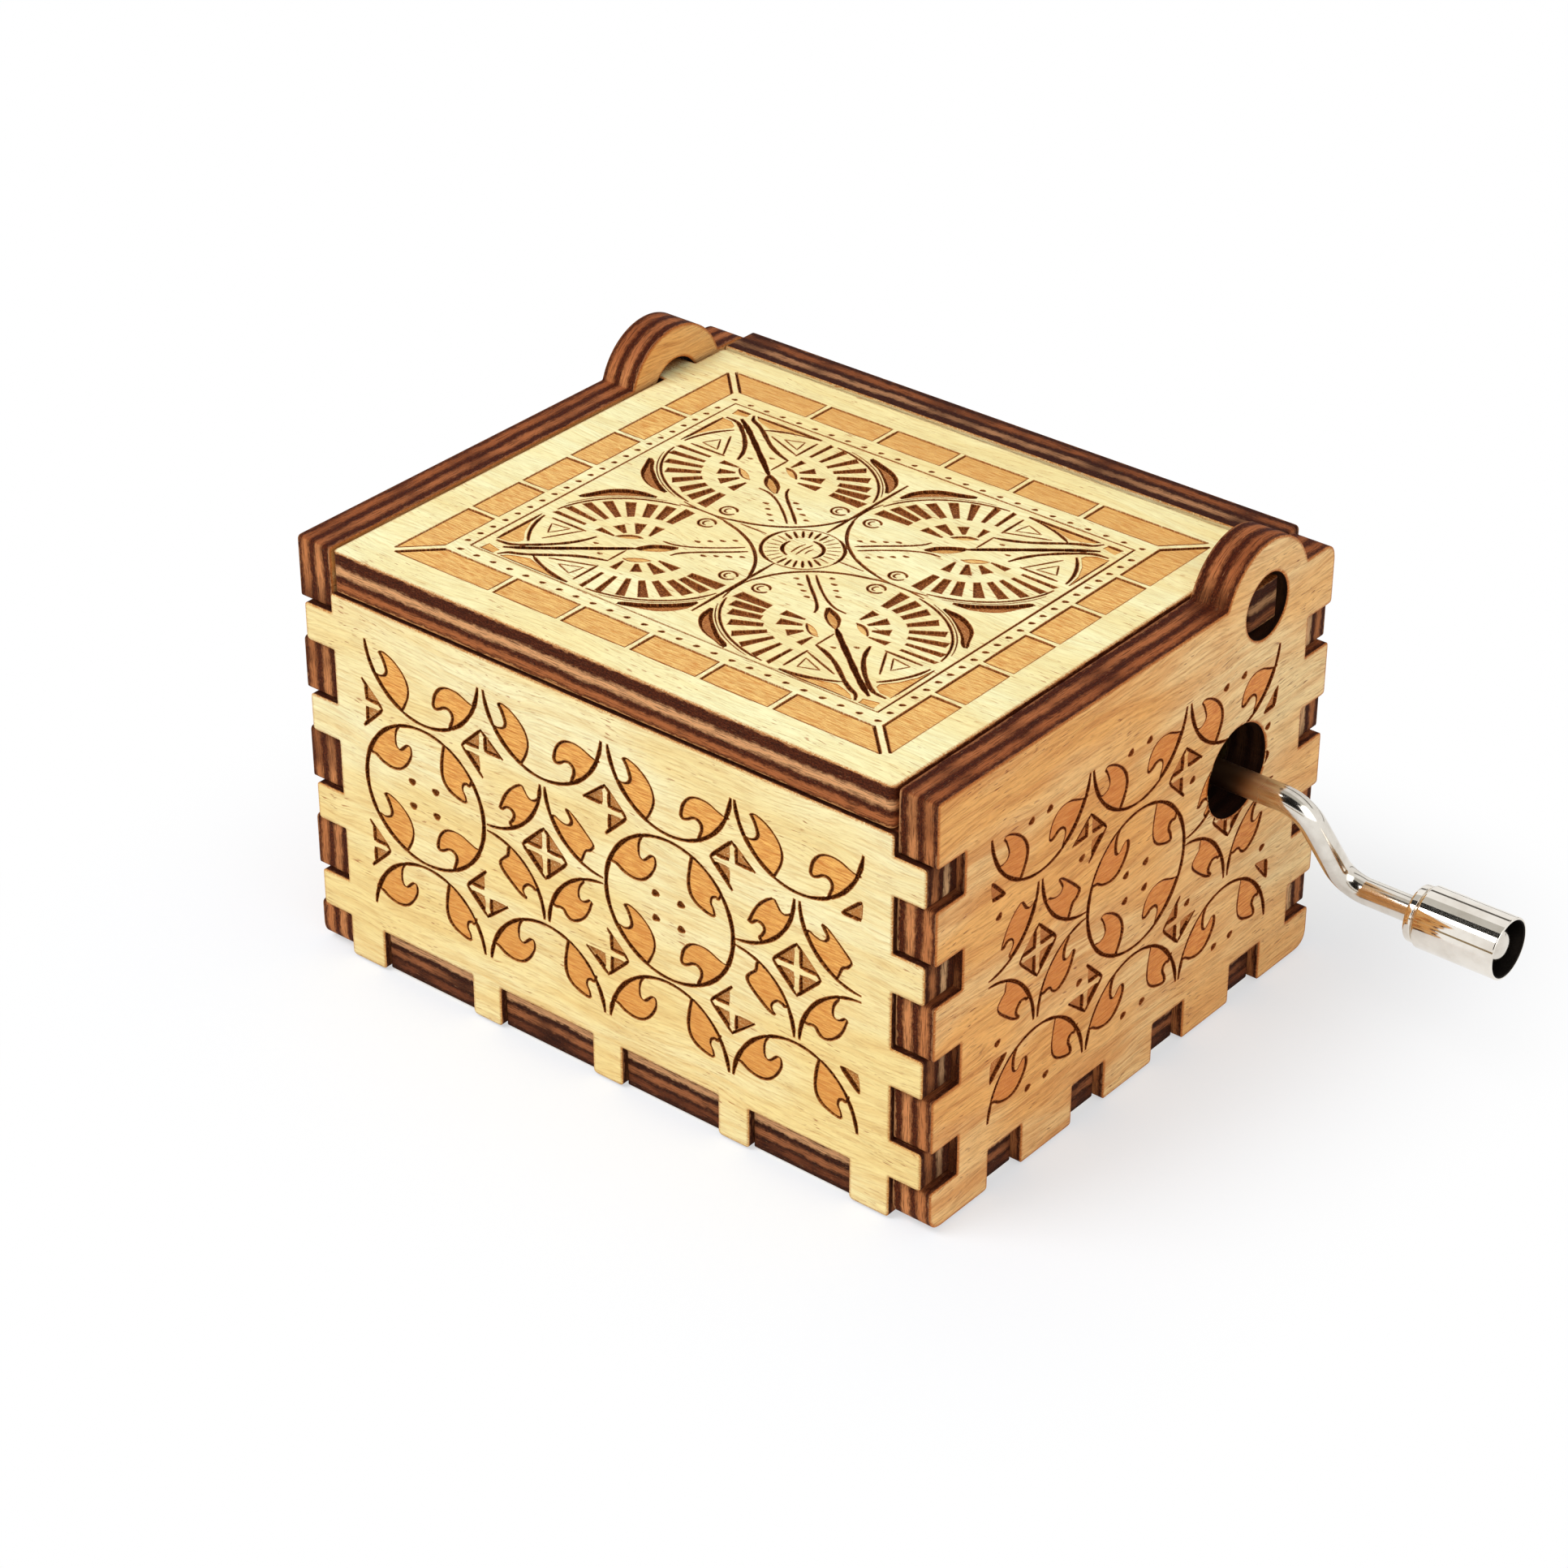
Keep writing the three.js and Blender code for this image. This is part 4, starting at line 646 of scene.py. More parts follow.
def strongest(points, polygons):
    """For each point, the largest value of the polygons that hold it."""
    value = np.zeros(len(points))
    for p, v in polygons:
        lo, hi = p.min(0), p.max(0)
        near = np.nonzero(((points >= lo) & (points <= hi)).all(1) & (value < v))[0]
        if len(near):
            value[near[winding(points[near], p) != 0]] = v
    return value


def flat_cut(loops, rims, drawing, halos):
    """A face's triangles, cut along its outline, rims and drawing: vertices, triangles and their middles, each
    vertex's share of the rim's scorch, which ones are on the border, and the border's rings."""
    drawn = halos + drawing.lines + drawing.areas
    rings = loops + rims + [p for p, _ in drawn]
    verts, edges, kind = [], [], []
    for i, ring in enumerate(rings):
        first, n = len(verts), len(ring)
        verts.extend(Vector(p) for p in ring.tolist())
        edges.extend((first + k, first + (k + 1) % n) for k in range(n))
        kind.extend([i] * n)
    made = delaunay_2d_cdt(verts, edges, [], 0, CUT_TOLERANCE)
    v = np.array([p[:] for p in made[0]])
    tri = np.array(made[2])
    area = np.cross(v[tri[:, 1]] - v[tri[:, 0]], v[tri[:, 2]] - v[tri[:, 0]])
    tri[area < 0] = tri[area < 0][:, ::-1]
    middle = v[tri].mean(1)
    keep = (sum(winding(middle, loop) for loop in loops) > 0) & (np.abs(area) > LEAST_AREA)
    tri, middle = tri[keep], middle[keep]
    # Each vertex's first ring, and where each given point went.
    origin = np.array([min((kind[k] for k in ids), default=len(rings)) for ids in made[3]])
    went = {k: vertex for vertex, ids in enumerate(made[3]) for k in ids}
    follow = next_of({(t[k], t[(k + 1) % 3]) for t in tri.tolist() for k in range(3)})
    borders, first = [], 0
    for loop in loops:
        ring = [went[first]]
        while follow[ring[-1]] != ring[0]:
            ring.append(follow[ring[-1]])
        borders.append(ring)
        first += len(loop)
    at_edge = np.zeros(len(v), bool)
    at_edge[np.concatenate(borders)] = True
    rim = np.where(origin < 2 * len(loops), NEAR_RIM_BURN, 0.0)
    rim[at_edge | (origin < len(loops))] = 1.0
    return v, tri, middle, rim, at_edge, borders


class Surface:
    """A board's surface being gathered: its points, and each face corner's place, scorch and stain, which also
    carry painted shade at the lid's tenons and in holes.
    """

    def __init__(self):
        self.points, self.faces, self.uv, self.scorch, self.stain, self.slots = [], [], [], [], [], []
        self.count = 0

    def add(self, points, level, polygons, uv, scorch, stain, slot=0):
        polygons = np.asarray(polygons)
        self.points.append(np.column_stack([points, level]))
        self.faces.extend((polygons + self.count).tolist())
        self.count += len(points)
        self.uv.append(uv.reshape(-1, 2))
        self.scorch.append(np.broadcast_to(scorch, polygons.shape).reshape(-1))
        self.stain.append(np.broadcast_to(stain, polygons.shape).reshape(-1))
        self.slots.extend([slot] * len(polygons))


def at_tenons(points):
    x = np.abs(points[:, 0])
    return x > x.max() - TENON_END


def outer_face(surface, board, loops, rims, drawing):
    """The face with its drawing: each triangle lies at the top, in a pocket or in a groove. Gives its border."""
    halos = [(widened(p, HALO), s) for p, s in drawing.lines]
    v, tri, middle, rim, at_edge, borders = flat_cut(loops, rims, drawing, halos)
    whole = sum(winding(middle, r) for r in rims[: len(loops)]) > 0
    groove = strongest(middle, drawing.lines) * whole
    stain = strongest(middle, drawing.areas) * whole
    level = np.where(groove > 0, 2, np.where(stain > 0, 1, 0))
    used, local = np.unique(tri * 3 + level[:, None], return_inverse=True)
    which, its_level = used // 3, used % 3
    depth = np.where(at_edge[which] & (its_level == 0), BEVEL, DEPTHS[its_level])
    lip = np.zeros(len(v))
    np.maximum.at(lip, tri[groove > 0].ravel(), np.repeat(groove[groove > 0], 3))
    in_halo = strongest(middle, halos)[:, None] > 0
    burn = np.where(groove[:, None] > 0, groove[:, None], np.where(in_halo, HALO_BURN * lip[tri], 0.0))
    burn = np.maximum(burn, rim[tri] * board.rim_burn)
    # Painted shade on the tenons' face, carried with the burn.
    if board.tenons:
        burn = np.maximum(burn, TENON_FACE_SHADE * at_tenons(v)[tri])
    place = (v + board.shift)[tri]
    surface.add(v[which], board.top - depth, local.reshape(-1, 3), place, burn, stain[:, None])
    groove_walls(surface, board, v, tri, level, groove, stain)
    return [v[ring] for ring in borders]


def groove_walls(surface, board, v, tri, level, groove, stain):
    """Walls between triangles of unlike depth; one from the top to a groove is parted at a pocket's depth."""
    face_at = {(t[k], t[(k + 1) % 3]): f for f, t in enumerate(tri.tolist()) for k in range(3)}
    pairs = [(a, b, f, face_at[(b, a)]) for (a, b), f in face_at.items() if (b, a) in face_at]
    steps = np.array([pair for pair in pairs if level[pair[2]] < level[pair[3]]])
    parted = level[steps[:, 3]] - level[steps[:, 2]] == 2
    upper_part = np.concatenate([parted, np.zeros(parted.sum(), bool)])
    start, end, above, below = np.vstack([steps, steps[parted]]).T
    high, low = DEPTHS[level[above]], DEPTHS[level[below]]
    low[upper_part] = POCKET
    high[len(parted):] = POCKET
    p = np.stack([v[start], v[start], v[end], v[end]], 1)
    d = np.stack([high, low, low, high], 1)
    soot = groove[below][:, None] * (WALL_TOP_BURN + (1 - WALL_TOP_BURN) * d / GROOVE)
    burn = np.where((level[below] == 2)[:, None], soot, POCKET_WALL_BURN)
    quads = np.arange(d.size).reshape(-1, 4)
    colour = np.maximum(stain[above], stain[below])[:, None]
    surface.add(p.reshape(-1, 2), board.top - d.reshape(-1), quads, p + board.shift, burn, colour)


def inner_face(surface, board, loops, rims):
    v, tri, _, rim, at_edge, _ = flat_cut(loops, rims, Drawing(), [])
    tri = tri[:, ::-1]
    depth = np.where(at_edge, board.thick - BEVEL, board.thick)
    place = (v + board.shift * INNER_SHIFT)[tri]
    surface.add(v, board.top - depth, tri, place, rim[tri] * board.rim_burn, 0.0)


def cut_edges(surface, board, loops):
    """Band round each loop, whose place is (run along it, depth); a hole's walls and the tenons' ends get
    painted shade.
    """
    low, high = BEVEL, board.thick - BEVEL
    for k, loop in enumerate(loops):
        after = np.roll(loop, -1, 0)
        length = np.cumsum(np.linalg.norm(after - loop, axis=1))
        run = np.concatenate([[0], length]) + EDGE_SHIFT * k + board.shift[0]
        p = np.stack([loop, loop, after, after], 1)
        d = np.tile([low, high, high, low], (len(loop), 1))
        u = np.stack([run[:-1], run[:-1], run[1:], run[1:]], 1)
        quads = np.arange(d.size).reshape(-1, 4)
        hole_shade = np.full(len(loop), 1.0 if signed_area(loop) < 0 else 0.0)
        if board.tenons:
            hole_shade[at_tenons(loop)] = TENON_EDGE_SHADE
        place = np.stack([u, d], 2)
        surface.add(p.reshape(-1, 2), board.top - d.reshape(-1), quads, place, 0.0, hole_shade[:, None], 1)


def engraved_board(name, node_name, across, up, body, drawing, surfaces, shift, rim_burn=0.34, tenons=0.0):
    """A laser-cut ply board: its CAD outline with eased corners, its drawing cut in, and its edges."""
    out = np.cross(across, up)
    raw, top, thick = outline_of(nodes[node_name], across, up, out)
    for loop in raw:
        ends = np.abs(loop[:, 0]) > np.abs(loop[:, 0]).max() - AT_END
        loop[ends, 0] += tenons * np.sign(loop[ends, 0])
    loops = [eased(loop) for loop in raw]
    rims = [inset(loop, distance) for distance in (RIM_NEAR, RIM_FAR) for loop in loops]
    board, surface = Board(top, thick, np.array(shift), rim_burn, tenons), Surface()
    borders = outer_face(surface, board, loops, rims, drawing)
    inner_face(surface, board, borders, rims)
    cut_edges(surface, board, borders)
    world = np.vstack(surface.points) @ np.stack([across, up, out]) * MM
    values = {"scorch": np.concatenate(surface.scorch), "stain": np.concatenate(surface.stain)}
    finished(name, world, surface.faces, body, surfaces, surface.slots, node_name,
             FOLD, np.vstack(surface.uv), values)


# Putting pieces in the scene

# In metres: doubled vertices that are merged. In degrees: folds that stay sharp.
MERGE, LOOK_MERGE = 1e-7, 1e-6
FOLD, TURNED_FOLD, LOOK_FOLD, BEVEL_FOLD, BEVEL_SEGMENTS = 35, 50, 32, 40, 2


def linked(name, data):
    obj = bpy.data.objects.new(name, data)
    bpy.context.scene.collection.objects.link(obj)
    return obj


def merged_and_smooth(mesh, distance, fold):
    bm = bmesh.new()
    bm.from_mesh(mesh)
    bmesh.ops.remove_doubles(bm, verts=bm.verts, dist=distance)
    bm.to_mesh(mesh)
    bm.free()
    mesh.polygons.foreach_set("use_smooth", np.ones(len(mesh.polygons), bool))
    mesh.set_sharp_from_angle(angle=math.radians(fold))
    mesh.update()


def finished(name, points, faces, body, surfaces, slots, node_name, fold, uv=None, values=None):
    """Puts a surface in the scene as one piece that rides on a body and stands for a CAD node."""
    mesh = bpy.data.meshes.new(name)
    mesh.from_pydata([tuple(p) for p in points.tolist()], [], faces)
    for surface in surfaces:
        mesh.materials.append(surface)
    mesh.polygons.foreach_set("material_index", np.array(slots, dtype=np.int32))
    if uv is not None:
        mesh.uv_layers.new(name="board").data.foreach_set("uv", uv.astype(np.float32).ravel())
    for key, data in (values or {}).items():
        mesh.attributes.new(key, "FLOAT", "CORNER").data.foreach_set("value", data.astype(np.float32))
    merged_and_smooth(mesh, MERGE, fold)
    obj = linked(name, mesh)
    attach(obj, body)
    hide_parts(node_name)


def refined(node_name, body, surface, bevel=0.0):
    """A CAD node's own shape, its doubled vertices merged, with eased edges and its finish."""
    mesh = nodes[node_name].data.copy()
    mesh.name = node_name + "_look"
    mesh.materials.clear()
    mesh.materials.append(surface)
    merged_and_smooth(mesh, LOOK_MERGE, LOOK_FOLD)
    obj = linked(node_name + "_look", mesh)
    if bevel:
        edge = obj.modifiers.new("eased edges", "BEVEL")
        edge.width, edge.segments, edge.limit_method = bevel * MM, BEVEL_SEGMENTS, "ANGLE"
        edge.angle_limit = math.radians(BEVEL_FOLD)
        edge.harden_normals = True
    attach(obj, body)
    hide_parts(node_name)


# Node trees and the materials that use them


def linear(rgb):
    """sRGB bytes as linear light."""
    c = np.array(rgb, float) / 255
    c = np.where(c <= 0.04045, c / 12.92, ((c + 0.055) / 1.055) ** 2.4)
    return (*c.tolist(), 1.0)


def shaded(rgb, by):
    return linear([c * k for c, k in zip(rgb, by)])


class Nodes:
    """A node tree being filled in."""

    def __init__(self, tree):
        self.tree = tree

    def add(self, kind, inputs=None, **settings):
        n = self.tree.nodes.new(kind)
        for key, value in settings.items():
            setattr(n, key, value)
        for key, value in (inputs or {}).items():
            if isinstance(value, bpy.types.NodeSocket):
                self.tree.links.new(value, n.inputs[key])
            else:
                n.inputs[key].default_value = value
        return n

    def math(self, operation, a, b=0.0, clamp=False):
        return self.add("ShaderNodeMath", {0: a, 1: b}, operation=operation, use_clamp=clamp).outputs[0]

    def times(self, a, b):
        return self.math("MULTIPLY", a, b)

    def plus(self, a, b, clamp=False):
        return self.math("ADD", a, b, clamp)

    def minus(self, a, b, clamp=False):
        return self.math("SUBTRACT", a, b, clamp)

    def mix(self, factor, a, b, blend="MIX"):
        n = self.add("ShaderNodeMix", data_type="RGBA", blend_type=blend, clamp_factor=True)
        for key, value in ((0, factor), (6, a), (7, b)):
            if isinstance(value, bpy.types.NodeSocket):
                self.tree.links.new(value, n.inputs[key])
            else:
                n.inputs[key].default_value = value
        return n.outputs[2]

    def ramp(self, value, low, high):
        inputs = {0: value, 1: low, 2: high, 3: 0.0, 4: 1.0}
        return self.add("ShaderNodeMapRange", inputs, interpolation_type="SMOOTHSTEP").outputs[0]

    def vector(self, operation, a, b=(0.0, 0.0, 0.0)):
        return self.add("ShaderNodeVectorMath", {0: a, 1: b}, operation=operation).outputs

    def noise(self, vector, stretch, detail, rough, distortion=0.0):
        inputs = {"Vector": self.vector("MULTIPLY", vector, stretch)[0], "Scale": 1.0, "Detail": detail,
                  "Roughness": rough, "Distortion": distortion}
        return self.add("ShaderNodeTexNoise", inputs).outputs["Fac"]

    def split(self, vector):
        return self.add("ShaderNodeSeparateXYZ", {0: vector}).outputs

    def place(self):
        return self.add("ShaderNodeTexCoord").outputs["Object"]

    def board_place(self):
        return self.add("ShaderNodeUVMap", uv_map="board").outputs[0]

    def attribute(self, name):
        return self.add("ShaderNodeAttribute", attribute_name=name).outputs["Fac"]

    def masks(self, tree, place):
        return self.add("ShaderNodeGroup", {0: place}, node_tree=tree).outputs

    def bump(self, height, distance, strength):
        inputs = {"Height": height, "Distance": distance, "Strength": strength}
        return self.add("ShaderNodeBump", inputs).outputs[0]

    def shade(self, **inputs):
        named = {key.replace("_", " "): value for key, value in inputs.items()}
        shader = self.add("ShaderNodeBsdfPrincipled", named)
        self.add("ShaderNodeOutputMaterial", {0: shader.outputs[0]})


def material(name):
    m = bpy.data.materials.new(name)
    m.use_nodes = True
    m.node_tree.nodes.clear()
    return m, Nodes(m.node_tree)


def mask_group(name, fill):
    """A node group from a place to the masks that fill gives by name."""
    tree = bpy.data.node_groups.new(name, "ShaderNodeTree")
    tree.interface.new_socket("Place", in_out="INPUT", socket_type="NodeSocketVector")
    n = Nodes(tree)
    values = fill(n, n.add("NodeGroupInput").outputs[0])
    for key in values:
        tree.interface.new_socket(key, in_out="OUTPUT", socket_type="NodeSocketFloat")
    out = n.add("NodeGroupOutput").inputs
    for key, value in values.items():
        tree.links.new(value, out[key])
    return tree


def grain(n, given):
    """Beech-like veneer: slow tone, bands along the grain, fine lines, short dark flecks, and their height."""
    bend = n.times(n.noise(given, (0.06, 0.16, 1.0), 2.0, 0.5), 3.0)
    place = n.vector("ADD", given, n.add("ShaderNodeCombineXYZ", {1: bend}).outputs[0])[0]
    slow = n.noise(place, (0.045, 0.13, 1.0), 2.0, 0.5)
    band = n.noise(place, (0.07, 0.95, 1.0), 3.0, 0.6)
    line = n.noise(place, (0.38, 5.2, 1.0), 3.0, 0.6)
    fibre = n.noise(place, (1.1, 12.0, 1.0), 2.0, 0.6)
    fleck = n.noise(place, (0.85, 6.0, 4.0), 1.0, 0.5)
    seldom = n.ramp(n.noise(place, (0.16, 0.3, 7.0), 1.0, 0.5), 0.42, 0.62)
    lines = n.plus(n.times(n.ramp(line, 0.44, 0.68), 0.75), n.times(n.ramp(fibre, 0.4, 0.7), 0.35))
    flecks = n.times(n.ramp(fleck, 0.63, 0.72), seldom)
    height = n.minus(n.times(lines, -1.0), n.times(flecks, 0.6))
    return {"Tone": n.ramp(slow, 0.36, 0.64), "Band": n.ramp(band, 0.4, 0.66), "Line": lines, "Fleck": flecks,
            "Height": height}


def charring(n, given):
    """Laser-cut edge, by its (run, depth): ragged shift of the plies, soot grit, fine streaks, painted glints.
    """
    wander = n.noise(given, (0.22, 0.25, 1.0), 3.0, 0.55)
    ragged = n.noise(given, (1.6, 3.0, 1.0), 4.0, 0.7)
    return {
        "Shift": n.plus(n.times(n.minus(wander, 0.5), 0.7), n.times(n.minus(ragged, 0.5), 0.75)),
        "Grit": n.noise(given, (5.0, 8.0, 1.0), 4.0, 0.7),
        "Streak": n.noise(given, (0.55, 9.5, 1.0), 4.0, 0.62),
        "Painted glint": n.ramp(n.noise(given, (1.4, 13.0, 3.0), 2.0, 0.6), 0.62, 0.76),
        "Often": n.ramp(n.noise(given, (0.13, 0.02, 1.0), 2.0, 0.5), 0.3, 0.56),
        "Seldom": n.ramp(n.noise(given, (0.17, 0.02, 9.0), 2.0, 0.5), 0.34, 0.6),
    }


def handling(n, given):
    """Plated or bare metal: hair scratches and a slow cloud."""
    return {"Hairs": n.noise(given, (300.0, 6000.0, 6000.0), 2.0, 0.6, 0.2),
            "Cloud": n.noise(given, (420.0, 420.0, 420.0), 3.0, 0.6)}


GRAIN = mask_group("beech grain", grain)
CHARRED = mask_group("charred edge", charring)
METAL = mask_group("metal wear", handling)
# What a colour is multiplied by for its darker marks: flecks, and in the stain its streaks, darker side (painted
# shade on the side panels), grit and lines.
FLECK, STREAKS, DARKER_SIDE, GRIT, LINES = (
    (0.84, 0.62, 0.46), (0.84, 0.66, 0.46), (0.88, 0.78, 0.66), (0.76, 0.6, 0.43), (0.82, 0.64, 0.46))
SCORCHED = (1.42, 1.7, 2.0)


def veneer(name, pale, warm, streak, line, stained, burnt, char, turn):
    """Face of a board: veneer that darkens and warms towards one side, painted shade on the side panels, its
    stained pockets and its burnt lines.
    """
    m, n = material(name)
    place = n.board_place()
    g = n.masks(GRAIN, place)
    axis, start, end = turn
    # Darker and warmer towards the ramp's end; on the side panels this is painted shade.
    darker_side = n.ramp(n.split(n.place())[axis], start, end)
    mottle = n.noise(place, (2.6, 5.5, 1.0), 4.0, 0.72)
    grit = n.noise(place, (8.0, 8.0, 1.0), 2.0, 0.6)
    streaks = n.noise(place, (0.75, 8.5, 1.0), 4.0, 0.65)
    tone = n.plus(n.times(g["Tone"], 0.75), n.times(darker_side, 0.5), True)
    wood = n.mix(tone, linear(pale), linear(warm))
    wood = n.mix(n.times(g["Band"], n.plus(n.times(darker_side, 0.3), 0.4)), wood, linear(streak))
    wood = n.mix(n.times(g["Line"], 0.46), wood, linear(line))
    wood = n.mix(n.times(g["Fleck"], 0.75), wood, shaded(line, FLECK))
    stain = n.mix(n.ramp(streaks, 0.42, 0.64), linear(stained), shaded(stained, STREAKS))
    stain = n.mix(n.times(darker_side, 0.6), stain, shaded(stained, DARKER_SIDE))
    stain = n.mix(n.times(n.ramp(grit, 0.48, 0.64), 0.2), stain, shaded(stained, GRIT))
    stain = n.mix(n.times(g["Line"], 0.8), stain, shaded(stained, LINES))
    area, scorch = n.attribute("stain"), n.attribute("scorch")
    wood = n.mix(area, wood, stain)
    uneven = n.times(n.minus(n.plus(n.times(mottle, 0.6), n.times(grit, 0.6)), 0.6), 3.4)
    burn = n.times(scorch, n.plus(uneven, 1.0))
    wood = n.mix(n.ramp(burn, 0.02, 0.36), wood, shaded(burnt, SCORCHED))
    wood = n.mix(n.ramp(burn, 0.32, 0.72), wood, linear(burnt))
    wood = n.mix(n.ramp(burn, 0.66, 1.1), wood, linear(char))
    height = n.plus(g["Height"], n.times(grit, area))
    n.shade(Base_Color=wood, Roughness=n.plus(n.times(g["Line"], 0.12), 0.52),
            Normal=n.bump(height, 0.00005, 0.7), Specular_IOR_Level=n.minus(0.25, n.times(scorch, 0.25), True))
    return m


# The first is painted shade multiplied in where a cut edge faces up; the second darkens its streaks.
PAINTED_UPWARD_SHADE, STREAK_SHADE = (1.0, 0.6, 0.52, 1.0), (0.8, 0.75, 0.7)
# Colours of the painted glints on cut edges, and of the painted shade inside holes.
PAINTED_GLINT_COLOUR, HOLE_SHADE_COLOUR = (222, 170, 122), (22, 8, 3)


def ply_colour(n, place, depth, dark, light, bands):
    """Charred ground, ragged paler plies (centre, core, reach, colour, amount, which); painted shade where it
    faces up.
    """
    g = n.masks(CHARRED, place)
    level = n.plus(depth, g["Shift"])
    # Painted shade: the more an edge faces up, the darker it is and the fainter its paler plies.
    facing = n.split(n.add("ShaderNodeNewGeometry").outputs["Normal"])[2]
    unshaded_share = n.minus(1.0, n.times(n.ramp(facing, 0.35, 0.85), 0.4))
    colour = n.mix(n.times(n.ramp(g["Grit"], 0.34, 0.7), unshaded_share), linear(dark), linear(light))
    for centre, core, reach, rgb, amount, which in bands:
        off = n.math("ABSOLUTE", n.minus(level, centre))
        band = n.times(n.minus(1.0, n.ramp(off, core, reach)), n.times(unshaded_share, amount))
        if which:
            band = n.times(band, g[which])
        colour = n.mix(band, colour, linear(rgb))
    colour = n.mix(n.minus(1.0, unshaded_share), colour, PAINTED_UPWARD_SHADE, "MULTIPLY")
    colour = n.mix(n.times(n.ramp(g["Streak"], 0.47, 0.67), 0.72), colour, shaded(dark, STREAK_SHADE))
    # Painted glints: bright specks standing in for highlights.
    colour = n.mix(n.times(g["Painted glint"], 0.3), colour, linear(PAINTED_GLINT_COLOUR))
    return colour, n.plus(n.times(g["Streak"], -0.6), n.times(g["Grit"], 0.4))


def cut_edge(name, dark, light, bands):
    """Laser-cut edge of a board, by depth from its outer face."""
    m, n = material(name)
    place = n.board_place()
    colour, height = ply_colour(n, place, n.split(place)[1], dark, light, bands)
    # Painted shade: near black inside holes, and darker at the tenons' ends.
    colour = n.mix(n.times(n.attribute("stain"), 0.93), colour, linear(HOLE_SHADE_COLOUR))
    n.shade(Base_Color=colour, Roughness=0.7, Normal=n.bump(height, 0.0003, 0.8), Specular_IOR_Level=0.07)
    return m


def metal(name, colour, dull, rough, spread, relief, brown_reflection=None):
    """Plated or bare metal; brown_reflection (colour, x start, x end) makes it browner and duller up to x start,
    fading by x end: a painted reflection of the wood beside it.
    """
    m, n = material(name)
    place = n.place()
    g = n.masks(METAL, place)
    tone = n.mix(n.ramp(g["Cloud"], 0.35, 0.75), linear(colour), linear(dull))
    roughness = n.plus(n.times(g["Cloud"], spread), rough)
    if brown_reflection:
        rgb, start, end = brown_reflection
        reflected = n.minus(1.0, n.ramp(n.split(place)[0], start, end))
        tone = n.mix(reflected, tone, linear(rgb))
        roughness = n.plus(roughness, n.times(reflected, 0.24))
    n.shade(Base_Color=tone, Metallic=1.0, Roughness=roughness, Normal=n.bump(g["Hairs"], relief, 0.4))
    return m


def bottom_ply():
    """Face veneer above and below, cut edge round the sides, told apart by the surface's own direction."""
    m, n = material("bottom ply")
    upright = n.math("ABSOLUTE", n.split(n.add("ShaderNodeNewGeometry").outputs["True Normal"])[2])
    place = n.vector("MULTIPLY", n.place(), (1000.0, 1000.0, 1000.0))[0]
    x, y, z = n.split(place)
    g = n.masks(GRAIN, n.vector("MULTIPLY", place, (1.0, 1.0, 0.0))[0])
    wood = n.mix(g["Tone"], linear((246, 224, 168)), linear((234, 202, 140)))
    wood = n.mix(n.times(g["Line"], 0.4), wood, linear((190, 134, 76)))
    run = n.add("ShaderNodeCombineXYZ", {0: n.plus(x, y), 1: z}).outputs[0]
    edge, height = ply_colour(n, run, z, (42, 17, 8), (80, 38, 19), [
        (0.75, 0.12, 0.5, (132, 72, 42), 0.75, "Seldom"), (1.75, 0.12, 0.52, (170, 104, 64), 0.9, "Often"),
        (3.0, 0.16, 0.5, (224, 166, 116), 0.95, "")])
    colour = n.mix(n.ramp(upright, 0.4, 0.6), edge, wood)
    n.shade(Base_Color=colour, Roughness=0.7, Normal=n.bump(height, 0.0003, 0.6), Specular_IOR_Level=0.07)
    return m


# Which way a board's veneer darkens and warms, axis, start and end in metres; on the side panels it is painted
# shade.
DARKER_LOW, PAINTED_LIGHT_FAR, EVEN = (2, 0.03, 0.006), (1, 0.02, -0.012), (1, 0.004, 0.024)
front_wood = veneer("front veneer", (253, 243, 190), (250, 225, 152), (238, 202, 128), (206, 154, 88),
                    (253, 194, 101), (134, 72, 28), (62, 26, 9), DARKER_LOW)
lid_wood = veneer("lid veneer", (254, 250, 197), (250, 234, 168), (244, 222, 152), (218, 176, 110),
                  (254, 212, 128), (132, 70, 30), (64, 27, 10), EVEN)
# The side veneer is a darker, more orange copy of the front's, partly painted shade of the side panels.
shaded_side_wood = veneer("side veneer", (255, 220, 156), (248, 182, 100), (216, 140, 66), (146, 80, 32),
                   (247, 168, 81), (134, 66, 26), (70, 28, 10), PAINTED_LIGHT_FAR)
TAN_LINE = (0.02, 0.06, 0.2, (206, 146, 96), 0.5, "Often")
ply_edge = cut_edge("cut ply edge", (46, 18, 8), (92, 42, 18), [
    (1.0, 0.14, 0.6, (196, 122, 72), 0.85, "Often"), (2.35, 0.14, 0.52, (232, 180, 128), 0.95, "Often"),
    TAN_LINE])
lid_edge = cut_edge("lid's cut edge", (54, 21, 9), (112, 52, 24), [
    (1.62, 0.1, 0.58, (238, 174, 118), 0.95, ""), (2.95, 0.08, 0.52, (190, 112, 64), 0.9, ""),
    (3.55, 0.06, 0.2, (220, 152, 92), 0.75, ""), (0.02, 0.06, 0.2, (210, 146, 92), 0.7, "")])
side_edge = cut_edge("side panel's cut edge", (54, 21, 9), (116, 54, 24), [
    (0.85, 0.12, 0.62, (216, 136, 80), 0.85, "Often"), (2.35, 0.14, 0.62, (228, 150, 92), 0.9, "Often"),
    TAN_LINE, (3.55, 0.06, 0.22, (210, 148, 96), 0.7, "")])
